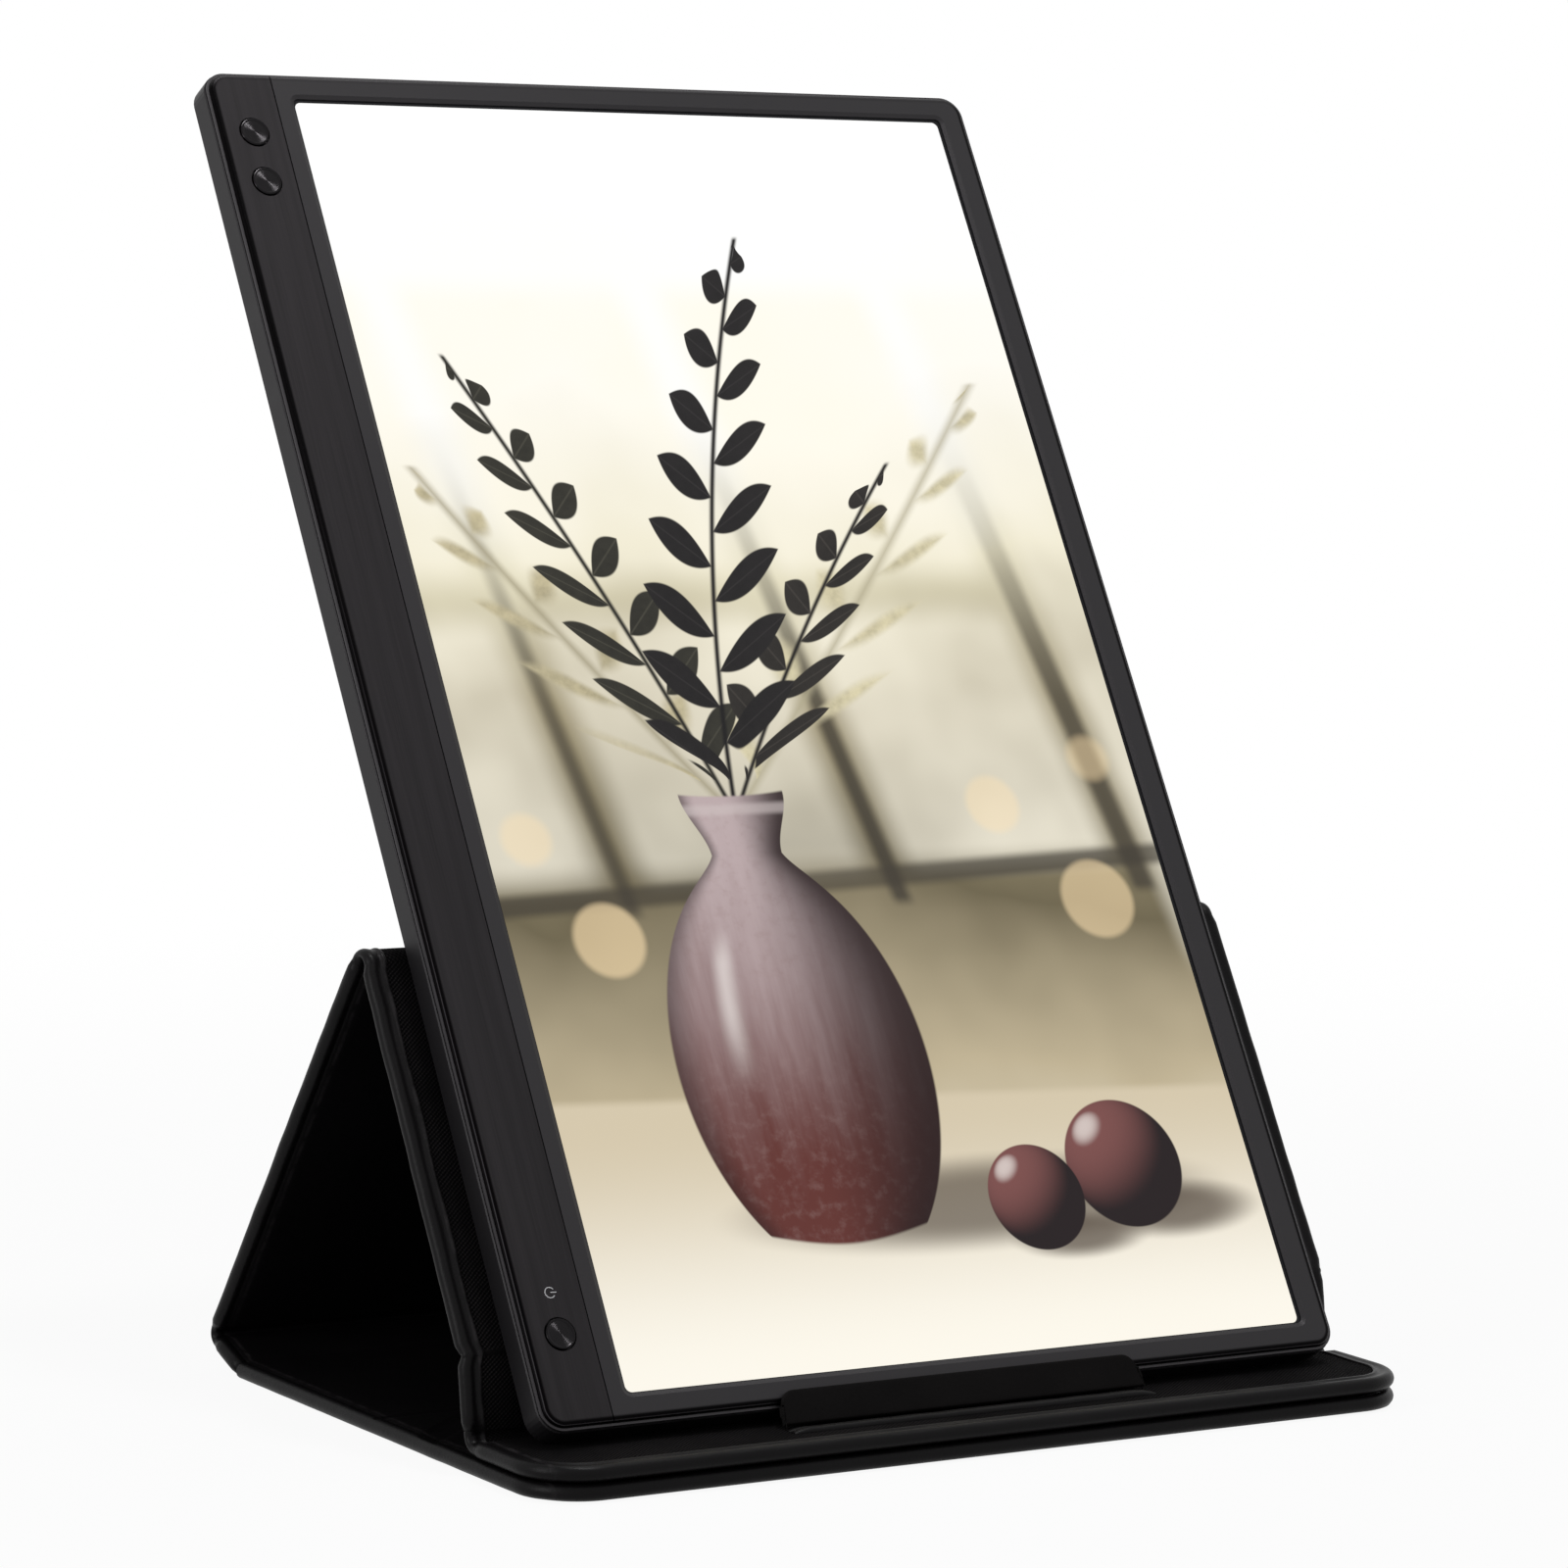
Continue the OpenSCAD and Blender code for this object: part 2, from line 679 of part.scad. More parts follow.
// Folded metal socket with its tongue, on two tabs that lie on the main board
module usb_c_port() {
  tongue = [port_w * 0.74, port_d * 0.75, 0.7];
  color(steel_col) on_monitor() translate([0, -port_inset, 0]) {
    difference() {
      union() {
        intersection() {
          port_slot(port_w, port_h, port_d);
          translate([-body_w, body_h - port_d, -2 * body_t])
            cube([2 * body_w, port_d, 2 * body_t]);
        }
        translate([port_x - port_w / 2 - port_tab[0], body_h - port_d, board_front])
          cube([port_w + 2 * port_tab[0], port_tab[1], port_tab[2]]);
      }
      port_slot(port_w - 2 * port_wall, port_h - 2 * port_wall, port_d - 2 * port_wall);
    }
    translate([port_x - tongue[0] / 2, body_h - port_d + port_wall, port_z - tongue[2] / 2])
      cube(tongue);
  }
}

// Steel plates glued inside the back, where the cover's magnets hold the monitor
module keeper_plates() {
  color(steel_col) on_monitor() for (row = magnet_rows, s = [-1, 1])
    translate([s * magnet_out - magnet_l / 2, panel_on_body + row - magnet_w / 2, shell_floor])
      cube([magnet_l, magnet_w, keeper_t]);
}

// Round cap with a dished, ringed face and a flange that keeps it in
module button_cap(y) {
  ring = cap_r * 0.78;
  color([0.24, 0.24, 0.25]) on_monitor() translate([button_x, y, 0]) {
    difference() {
      translate([0, 0, cap_foot]) cylinder(r = cap_r, h = cap_proud - cap_foot);
      translate([0, 0, cap_proud - 0.15]) difference() {
        cylinder(r = ring, h = 1);
        cylinder(r = ring - 0.4, h = 1);
      }
    }
    translate([0, 0, flange_top - flange_t]) difference() {
      cylinder(r = flange_r, h = flange_t);
      translate([0, 0, -over]) cylinder(r = cap_r - 0.5, h = flange_t + 2 * over);
    }
  }
}

module power_button() { button_cap(button_ys[0]); }
module upper_button() { button_cap(button_ys[1]); }
module lower_button() { button_cap(button_ys[2]); }

// ---- Floor panel and spine ----

// Crease bands pressed into the floor's leather: the cross seam and two diagonals
module floor_creases() {
  run = seam_from_front - cover_r;
  translate([-cover_w, seam_from_front - seam_w / 2, panel_t - crease_depth])
    cube([2 * cover_w, seam_w, crease_depth + over]);
  for (s = [0, 1]) mirror([s, 0, 0])
    translate([-cover_w / 2, seam_from_front - 0.4 * run, panel_t - crease_depth])
      rotate([0, 0, crease_angle]) translate([-crease_w, -crease_w / 2, 0])
        cube([0.62 * run + crease_w, crease_w, crease_depth + over]);
}

// The floor's lining is flush with its turned edge, so the underside is flat
module floor_leather() {
  color(leather_col) on_floor() difference() {
    front_block(floor_len);
    translate([0, 0, lining_t]) linear_extrude(floor_board_h)
      front_plan(pocket_in, floor_len - pocket_end);
    translate([0, 0, -over]) linear_extrude(over + lining_t)
      front_plan(turned_edge, floor_len + over);
    floor_creases();
  }
}

module floor_lining() {
  color(twill_col) on_floor() linear_extrude(lining_t) front_plan(turned_edge, floor_len);
}

module floor_board(y0, y1) {
  intersection() {
    translate([0, 0, lining_t]) linear_extrude(floor_board_h)
      front_plan(pocket_in, floor_len - pocket_end);
    translate([-cover_w, y0, 0]) cube([2 * cover_w, y1 - y0, panel_t]);
  }
}

module floor_board_front() {
  color(card_col) on_floor() difference() {
    floor_board(0, seam_from_front - board_split / 2);
    floor_magnet_bars();
  }
}

module floor_board_rear() {
  color(card_col) on_floor() floor_board(seam_from_front + board_split / 2, floor_len);
}

module floor_magnet_bars() {
  magnet_pair(tray_len / 2);
}

module floor_magnets() {
  color(steel_col) on_floor() floor_magnet_bars();
}

module floor_fold() {
  color(leather_col) bent_sheet(floor_pivot, spine_r, -90, spine_rise - 90);
}

module spine_leather() {
  color(leather_col) on_spine() fold_panel_leather(spine_len, fold_gap, 0);
}

module spine_lining() {
  color(twill_col) on_spine() fold_panel_lining(spine_len, fold_gap, 0);
}

module spine_board() {
  color(card_col) on_spine() board_pocket(pocket_end, spine_len - pocket_end);
}

module spine_fold() {
  color(leather_col) bent_sheet(rear_pivot, spine_r, spine_rise - 90, 90 - rear_rise);
}

// ---- Rear panel ----

module rear_leather() {
  color(leather_col) on_rear() fold_panel_leather(rear_len, 0, fold_gap);
}

module rear_lining() {
  color(twill_col) on_rear() fold_panel_lining(rear_len, 0, fold_gap);
}

module rear_board() {
  color(card_col) on_rear() board_pocket(pocket_end, rear_len - pocket_end);
}

module apex_fold() {
  color(leather_col) bent_sheet(apex_pivot, apex_r, 90 - rear_rise, 180 - lean);
}

// ---- Front panel and lower strip ----

module front_leather() {
  color(leather_col) on_front() fold_panel_leather(front_len, 0, fold_gap);
}

module front_lining() {
  color(twill_col) on_front() fold_panel_lining(front_len, 0, fold_gap);
}

module front_board() {
  color(card_col) on_front() difference() {
    board_pocket(pocket_end, front_len - pocket_end);
    for (row = magnet_rows) magnet_pair(row);
  }
}

module front_magnets() {
  color(steel_col) on_front() for (row = magnet_rows) magnet_pair(row);
}

module strip_fold() {
  color(leather_col) bent_sheet(strip_pivot, panel_t, 180 - lean, 180 - strip_lean);
}

// Soft strip of leather and lining with no board in it
module lower_strip() {
  color(leather_col) on_strip() difference() {
    strip_block(strip_len - fold_gap);
    lining_channel(strip_len, -over, lining_sink);
  }
}

// ---- Tray and stop lip ----

module tray_fold() {
  color(leather_col) bent_sheet(tray_pivot, tray_r, -90, -strip_lean);
}

module tray_leather() {
  color(leather_col) on_tray() difference() {
    front_block(tray_len - fold_gap);
    translate([0, 0, pocket_z]) linear_extrude(board_h) front_plan(pocket_in, tray_len - pocket_end);
    translate([0, 0, -over]) linear_extrude(over + pocket_z) front_plan(turned_edge, tray_len + over);
  }
}

module tray_lining() {
  color(twill_col) on_tray() translate([0, 0, lining_sink]) linear_extrude(lining_t)
    front_plan(turned_edge, tray_len - fold_gap);
}

module tray_board() {
  color(card_col) on_tray() difference() {
    translate([0, 0, pocket_z]) linear_extrude(board_h) front_plan(pocket_in, tray_len - pocket_end);
    magnet_pair(tray_len / 2);
  }
}

module tray_magnets() {
  color(steel_col) on_tray() magnet_pair(tray_len / 2);
}

// Rolled leather welt sewn on the tray along the foot of the lip
module lip_welt() {
  base = tray_top - lining_sink;
  color(leather_col) stand() intersection() {
    translate([-lip_w / 2, welt_y, base]) rotate([0, 90, 0]) cylinder(r = welt_r, h = lip_w);
    translate([-lip_w, welt_y - 2 * welt_r, base]) cube([2 * lip_w, 4 * welt_r, 2 * welt_r]);
  }
}

// Face of the lip, wider at its foot, with round top corners
module lip_face(inset, h) {
  top_w = lip_w - 2 * lip_taper;
  r = max(min(lip_r, h / 2) - inset, 0.5);
  hull($fn = hull_fn) {
    for (s = [-1, 1]) translate([s * (top_w / 2 - inset - r), h - inset - r]) circle(r);
    translate([inset - lip_w / 2, 0]) square([lip_w - 2 * inset, slice]);
  }
}

// Suede lip that keeps the monitor's lower edge on the tray, round at its hinge
module stop_lip() {
  color(suede_col) on_lip() difference() {
    union() {
      translate([0, 0, -lip_t / 2]) linear_extrude(lip_t) lip_face(0, lip_h);
      translate([-lip_w / 2, 0, 0]) rotate([0, 90, 0]) cylinder(r = lip_t / 2, h = lip_w);
    }
    lip_core();
  }
}

module lip_core() {
  core_t = lip_t * 0.36;
  translate([0, 1.2, -core_t / 2]) linear_extrude(core_t) lip_face(2, lip_h - 1.2);
}

module lip_stiffener() {
  color(card_col) on_lip() lip_core();
}

front_bezel();
control_strip();
rear_shell();
lcd_cell();
optical_films();
light_guide();
reflector_sheet();
lamp_bar();
display_frame();
display_plate();
display_driver_board();
display_flexes();
main_board();
board_shield();
board_screws();
display_cable();
button_board();
tactile_switches();
usb_c_port();
keeper_plates();
power_button();
upper_button();
lower_button();
floor_leather();
floor_lining();
floor_board_front();
floor_board_rear();
floor_magnets();
floor_fold();
spine_leather();
spine_lining();
spine_board();
spine_fold();
rear_leather();
rear_lining();
rear_board();
apex_fold();
front_leather();
front_lining();
front_board();
front_magnets();
strip_fold();
lower_strip();
tray_fold();
tray_leather();
tray_lining();
tray_board();
tray_magnets();
lip_welt();
stop_lip();
lip_stiffener();
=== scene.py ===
import json
import math
import bmesh
import bpy
from mathutils import Matrix, Vector, noise


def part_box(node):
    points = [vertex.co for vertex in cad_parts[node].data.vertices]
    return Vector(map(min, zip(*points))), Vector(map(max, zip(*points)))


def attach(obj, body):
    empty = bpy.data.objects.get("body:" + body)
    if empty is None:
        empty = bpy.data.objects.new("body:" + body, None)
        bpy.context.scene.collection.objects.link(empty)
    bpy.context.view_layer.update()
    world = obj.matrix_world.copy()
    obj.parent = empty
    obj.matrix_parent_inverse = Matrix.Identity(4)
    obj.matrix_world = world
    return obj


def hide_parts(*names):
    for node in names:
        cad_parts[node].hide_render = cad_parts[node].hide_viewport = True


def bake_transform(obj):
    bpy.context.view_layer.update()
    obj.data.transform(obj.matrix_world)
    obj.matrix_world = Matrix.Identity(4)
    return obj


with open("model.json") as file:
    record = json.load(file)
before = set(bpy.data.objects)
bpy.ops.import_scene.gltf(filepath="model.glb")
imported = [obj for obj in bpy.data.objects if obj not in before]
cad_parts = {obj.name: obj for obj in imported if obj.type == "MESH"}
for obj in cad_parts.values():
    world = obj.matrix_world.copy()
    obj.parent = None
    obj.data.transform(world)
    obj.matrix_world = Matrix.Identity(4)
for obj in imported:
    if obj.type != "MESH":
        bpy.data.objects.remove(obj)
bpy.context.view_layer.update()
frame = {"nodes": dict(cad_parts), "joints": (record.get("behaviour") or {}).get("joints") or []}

mm = 0.001

shot = {
    "place": (-0.7533, -1.1997, 0.29686),  # metres, in front and to the left
    "turn": (84.008, -1.4, -32.013),       # degrees
    "lens": 131.73,                        # long lens, 36 mm film
}


def addObject(name, data):
    made = bpy.data.objects.new(name, data)
    bpy.context.scene.collection.objects.link(made)
    return made


def makeCamera():
    data = bpy.data.cameras.new("shotCamera")
    data.lens = shot["lens"]
    data.sensor_width = 36
    data.clip_start = 0.05
    camera = addObject("shotCamera", data)
    camera.location = shot["place"]
    camera.rotation_euler = [math.radians(angle) for angle in shot["turn"]]
    bpy.context.scene.camera = camera


makeCamera()
bpy.context.scene.view_settings.view_transform = "Standard"
print("camera stands")


# one shader socket, so that sums and products of sockets read as plain sums
class Wire:
    def __init__(self, finish, socket):
        self.finish = finish
        self.socket = socket

    def sums(self, operation, *values):
        return self.finish.add("Math", {"operation": operation}, values)

    def __add__(self, other):
        return self.sums("ADD", self, other)

    __radd__ = __add__

    def __sub__(self, other):
        return self.sums("SUBTRACT", self, other)

    def __rsub__(self, other):
        return self.sums("SUBTRACT", other, self)

    def __mul__(self, other):
        return self.sums("MULTIPLY", self, other)

    __rmul__ = __mul__

    def __truediv__(self, other):
        return self.sums("DIVIDE", self, other)

    def __lt__(self, other):
        return self.sums("LESS_THAN", self, other)

    def __gt__(self, other):
        return self.sums("GREATER_THAN", self, other)

    def highest(self, other):
        return self.sums("MAXIMUM", self, other)

    def lowest(self, other):
        return self.sums("MINIMUM", self, other)

    def power(self, other):
        return self.sums("POWER", self, other)


# a material or the world, and the nodes that feed its shader
class Finish:
    def __init__(self, holder, shader="Principled BSDF"):
        self.material = holder
        self.material.use_nodes = True
        tree = self.material.node_tree
        self.nodes, self.links = tree.nodes, tree.links
        self.shader = self.nodes[shader]

    def feed(self, socket, value):
        if isinstance(value, Wire):
            self.links.new(value.socket, socket)
        elif socket.type == "RGBA" and len(value) == 3:
            socket.default_value = (*value, 1)
        else:
            socket.default_value = value

    def add(self, kind, settings, values, out=0):
        node = self.nodes.new("ShaderNode" + kind)
        for key, value in settings.items():
            if key == "stops":
                for i, (place, colour) in enumerate(value):
                    stop = node.color_ramp.elements[i] if i < 2 else node.color_ramp.elements.new(place)
                    stop.position, stop.color = place, (*colour, 1)
            else:
                setattr(node, key, value)
        named = values.items() if isinstance(values, dict) else enumerate(values)
        for key, value in named:
            self.feed(node.inputs[key], value)
        if isinstance(out, tuple):
            return [Wire(self, node.outputs[name]) for name in out]
        return Wire(self, node.outputs[out])

    def place(self):
        return self.add("TexCoord", {}, {}, "Object")

    def seen(self):
        camera, gloss, through = self.add("LightPath", {}, {}, (
            "Is Camera Ray", "Is Glossy Ray", "Is Transmission Ray"))
        return camera.highest(gloss.highest(through))

    def along(self, vector, direction, origin=(0, 0, 0)):
        moved = self.add("VectorMath", {"operation": "SUBTRACT"}, (vector, origin))
        return self.add("VectorMath", {"operation": "DOT_PRODUCT"}, (moved, direction), "Value")

    def join(self, x, y, z=0.0):
        return self.add("CombineXYZ", {}, (x, y, z))

    def cloud(self, vector, scale, detail=3.0, rough=0.5):
        inputs = {"Vector": vector, "Scale": scale, "Detail": detail, "Roughness": rough}
        return self.add("TexNoise", {}, inputs, 0)

    def blend(self, share, first, second):
        return self.add("Mix", {"data_type": "RGBA"}, {0: share, 6: first, 7: second}, 2)

    def step(self, value, low, high, start=0.0, end=1.0):
        inputs = (value, low, high, start, end)
        return self.add("MapRange", {"interpolation_type": "SMOOTHSTEP"}, inputs)

    def wave(self, value):
        return self.add("Math", {"operation": "PINGPONG"}, (value, 0.5)) * 2.0

    def size(self, value):
        return self.add("Math", {"operation": "ABSOLUTE"}, (value,))

    def bump(self, height, distance, strength=1.0):
        return self.add("Bump", {}, {"Height": height, "Distance": distance, "Strength": strength})

    def surface(self, **sockets):
        for name, value in sockets.items():
            self.feed(self.shader.inputs[name.replace("_", " ")], value)
        return self.material


def newFinish(name):
    return Finish(bpy.data.materials.new(name))


def scaled(tone, factor, limit=1.0):
    return tuple(min(limit, value * factor) for value in tone)


studio = {
    "roomLight": (0.24, 0.56),  # what the room gives to the object, level with it and from above
    "floorTone": (0.6, 0.6, 0.6),
    "floorGlow": (0.93, 1.0),   # share of plain white beside the object and further away
    "floorSize": 16.0,
    "side": {"place": (-1.7, -0.3, 0.75), "size": (0.45, 1.3), "power": 15.0},
    "top": {"place": (0.22, -0.16, 1.95), "size": (0.27, 0.27), "power": 14.0},
}


def makeRoom():
    world = bpy.data.worlds.new("whiteRoom")
    bpy.context.scene.world = world
    room = Finish(world, "Background")
    height = room.along(room.add("TexCoord", {}, {}, "Generated"), (0, 0, 1))
    given = room.step(height, -0.1, 1.0, *studio["roomLight"])
    seen = room.seen()
    room.surface(Color=(1, 1, 1), Strength=seen + (1 - seen) * given)


def makeFloor():
    finish = newFinish("whiteFloor")
    away = finish.add("VectorMath", {"operation": "LENGTH"}, (finish.place(),), "Value")
    glow = finish.nodes.new("ShaderNodeEmission")
    mixed = finish.nodes.new("ShaderNodeMixShader")
    finish.feed(mixed.inputs[0], finish.seen() * finish.step(away, 0.25, 0.9, *studio["floorGlow"]))
    finish.surface(Base_Color=studio["floorTone"], Roughness=0.9, Specular_IOR_Level=0.1)
    finish.links.new(finish.shader.outputs[0], mixed.inputs[1])
    finish.links.new(glow.outputs[0], mixed.inputs[2])
    finish.links.new(mixed.outputs[0], finish.nodes["Material Output"].inputs["Surface"])
    bm = bmesh.new()
    bmesh.ops.create_grid(bm, x_segments=1, y_segments=1, size=studio["floorSize"] / 2)
    bmesh.ops.translate(bm, vec=(0, 0, -0.0003), verts=bm.verts)
    mesh = bpy.data.meshes.new("studioFloor")
    bm.to_mesh(mesh)
    bm.free()
    mesh.materials.append(finish.material)
    addObject("studioFloor", mesh)


def makeLamp(name, panel, target):
    data = bpy.data.lights.new(name, "AREA")
    data.shape = "RECTANGLE"
    data.size, data.size_y = panel["size"]
    data.energy = panel["power"]
    lamp = addObject(name, data)
    lamp.location = panel["place"]
    lamp.rotation_euler = (Vector(target) - lamp.location).to_track_quat("-Z", "Y").to_euler()


makeRoom()
makeFloor()
makeLamp("sidePanel", studio["side"], (0, 0, 0.12))
makeLamp("topPanel", studio["top"], (0, 0, 0.2))
print("room and lamps stand")

joints = {joint["name"]: joint for joint in frame["joints"]}
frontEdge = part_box("floor_leather")[0].y


def pivot(name):
    return Vector((0, joints[name]["pos_m"][1], joints[name]["pos_m"][2]))


coverSizes = {
    "half": 124 * mm,        # half of the cover's width
    "thick": 4 * mm,         # a panel with its board
    "corner": 16 * mm,       # round front corners
    "turned": 5.2 * mm,      # leather turned over onto the lining's side
    "liningLevel": 0.45 * mm,
    "recess": 0.95 * mm,
    "trayTop": 8.4 * mm,
    "lean": 31.0,
    "stripLean": 9.0,
    "spineRise": 20.7,
    "apexRound": 5.4 * mm,
    "spineRound": 4.4 * mm,
    "trayRound": 6.0 * mm,
    "lengths": {"floor": 0, "spine": 13 * mm, "rear": 123 * mm, "front": 97.5 * mm,
                "strip": 17 * mm, "tray": 35 * mm},
}
lengths = coverSizes["lengths"]
half = coverSizes["half"]
thick = coverSizes["thick"]
lean = math.radians(coverSizes["lean"])
stripLean = math.radians(coverSizes["stripLean"])
spineRise = math.radians(coverSizes["spineRise"])
floorPivot, rearPivot = pivot("spine_tilt"), pivot("leg_fold")
apexPivot, stripPivot, trayPivot = pivot("apex_open"), pivot("strip_bend"), pivot("tray_open")
lengths["floor"] = floorPivot.y - frontEdge
roundStep = coverSizes["apexRound"] - coverSizes["spineRound"]
legSpan = math.hypot(lengths["rear"], roundStep)
rearRise = math.atan2(roundStep, lengths["rear"]) + math.asin((apexPivot.z - rearPivot.z) / legSpan)
stripOut = Vector((0, math.cos(stripLean), -math.sin(stripLean)))
stripFoot = trayPivot + coverSizes["trayRound"] * stripOut
liningInset = coverSizes["turned"] - 0.25 * mm


# a panel's own space has x across, y along the panel and z from the lining's side to the leather's
def panelSpace(point, tilt, drop, turned):
    space = Matrix.Translation((0, point.y, point.z)) @ Matrix.Rotation(tilt, 4, "X")
    if turned:
        space = space @ Matrix.Scale(-1, 4, (0, 0, 1))
    return space @ Matrix.Translation((0, 0, -drop))


spaces = {
    "floor": panelSpace(Vector((0, frontEdge, 0)), 0, 0, False),
    "spine": panelSpace(floorPivot, spineRise, coverSizes["spineRound"], False),
    "rear": panelSpace(apexPivot, -rearRise, coverSizes["apexRound"], True),
    "front": panelSpace(stripPivot, math.pi / 2 - lean, thick, True),
    "strip": panelSpace(stripFoot, math.pi / 2 - stripLean, thick, True),
    "tray": panelSpace(Vector((0, frontEdge, coverSizes["trayTop"])), 0, 0, True),
}
monitorUp = Vector((0, math.sin(lean), math.cos(lean)))
monitorOut = Vector((0, -math.cos(lean), math.sin(lean)))
screenCell = {"foot": 4.4 * mm, "front": 0.8 * mm, "back": 2.0 * mm}


# the display cell's lower edge lies a known step up from the monitor's lower front edge
def findMonitorFoot():
    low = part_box("lcd_cell")[0]
    y = low.y - monitorUp.y * screenCell["foot"] + monitorOut.y * screenCell["front"]
    z = low.z - monitorUp.z * screenCell["foot"] + monitorOut.z * screenCell["back"]
    return Vector((0, y, z))


monitorFoot = findMonitorFoot()
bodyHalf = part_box("rear_shell")[1].x
bodyTall = 360 * mm
print("monitor's lower front edge", [round(value / mm, 3) for value in monitorFoot])


# x across, y up along the leaning monitor and z out of its screen, from a point
def leaningSpace(point):
    return Matrix((
        (1, 0, 0, 0),
        (0, monitorUp.y, monitorOut.y, point.y),
        (0, monitorUp.z, monitorOut.z, point.z),
        (0, 0, 0, 1)))


monitorSpace = leaningSpace(monitorFoot)

# the hem band's lighter tone is a painted highlight along the raised hem
leatherLook = {"tone": (0.0023, 0.002, 0.0023), "light": (0.0054, 0.0047, 0.0051), "grain": 1300.0,
               "rough": 0.36, "gloss": 0.09, "relief": 0.00005,
               "hem": (4.0 * mm, 4.4 * mm, 5.0 * mm, 5.3 * mm), "wearAndHighlight": (0.014, 0.0125, 0.0135)}
twillLook = {"tone": (0.0007, 0.00062, 0.0008), "light": (0.0165, 0.0148, 0.0152), "pitch": 0.8 * mm,
             "turn": 40.0, "relief": 0.00016}


def leatherFinish(name, look=leatherLook):
    finish = newFinish(name)
    place = finish.place()
    pores = finish.add("TexVoronoi", {"feature": "SMOOTH_F1"},
                       {"Vector": place, "Scale": look["grain"], "Smoothness": 0.6}, "Distance")
    fine = finish.cloud(place, 2600.0, 2.0)
    wide = finish.cloud(place, 38.0, 4.0)
    wearAndHighlight = finish.step(finish.cloud(place, 11.0, 5.0, 0.6), 0.45, 0.75)
    height = pores * 0.7 + fine * 0.3 + wide * 0.8
    tone = finish.blend(wearAndHighlight * 0.6 + wide * 0.3, look["tone"], look["light"])
    # painted highlight: the raised hem is painted lighter in patches; the wide patches above are random wear
    inward = half - finish.size(finish.along(place, (1, 0, 0)))
    start, full, low, end = look["hem"]
    hem = finish.step(inward, start, full) * (1 - finish.step(inward, low, end))
    hemHighlightPatches = finish.step(finish.cloud(place, 260.0), 0.3, 0.65)
    tone = finish.blend(hem * hemHighlightPatches * 0.8, tone, look["wearAndHighlight"])
    return finish.surface(Base_Color=tone, Roughness=look["rough"] + 0.12 * wide - 0.06 * wearAndHighlight,
                          Specular_IOR_Level=look["gloss"],
                          Normal=finish.bump(height, look["relief"], 0.8))


def twillFinish(name, look=twillLook):
    finish = newFinish(name)
    cloth = finish.add("Attribute", {"attribute_name": "cloth"}, {}, "Vector")
    turn = math.radians(look["turn"])
    wander = finish.cloud(cloth, 320.0) * 0.6
    ribs = finish.along(cloth, (-math.sin(turn), math.cos(turn), 0)) / look["pitch"] + wander
    cross = finish.along(cloth, (math.cos(turn), math.sin(turn), 0)) / look["pitch"] - wander
    rib, dash = finish.wave(ribs), finish.wave(cross)
    fuzz = finish.cloud(cloth, 2400.0, 3.0, 0.7)
    wear = finish.cloud(cloth, 26.0, 4.0, 0.6)
    height = rib * 0.7 + dash * 0.45 + fuzz * 0.3
    raised = finish.step(rib * 0.65 + dash * 0.35 + fuzz * 0.3, 0.5, 1.1)
    tone = finish.blend(raised * (finish.step(wear, 0.3, 0.7) + 0.2), look["tone"], look["light"])
    return finish.surface(Base_Color=tone, Roughness=0.85 + 0.1 * fuzz, Specular_IOR_Level=0.03,
                          Normal=finish.bump(height, look["relief"], 1.0))


def suedeFinish(name):
    finish = newFinish(name)
    place = finish.place()
    nap = finish.cloud(place, 900.0, 5.0, 0.75)
    stroke = finish.cloud(place, 55.0)
    pitted = finish.step(finish.cloud(place, 420.0, 1.0), 0.72, 0.8)
    tone = finish.blend(stroke * 0.7 + nap * 0.3, (0.003, 0.0027, 0.0028), (0.0088, 0.008, 0.008))
    return finish.surface(Base_Color=tone, Roughness=0.92 - 0.06 * nap, Specular_IOR_Level=0.04,
                          Normal=finish.bump(nap * 0.8 - pitted * 0.5, 0.00009, 0.8))


# painted shade and painted highlights for the bezel's front edge
paintedEdgeLight = {
    "band": (0.25 * mm, 0.5 * mm, 2.0 * mm, 2.7 * mm),  # where the painted dark band starts and ends
    "corner": 6.0 * mm,
    "paintedShade": (0.0022, 0.002, 0.0022),
    "rimBack": -1.02 * mm,
    "rim": (0.055, 0.051, 0.055),
    "highlightLineAt": 1.35 * mm,                                # a painted highlight line runs inside the band
    "highlightLineWide": 0.16 * mm,
}


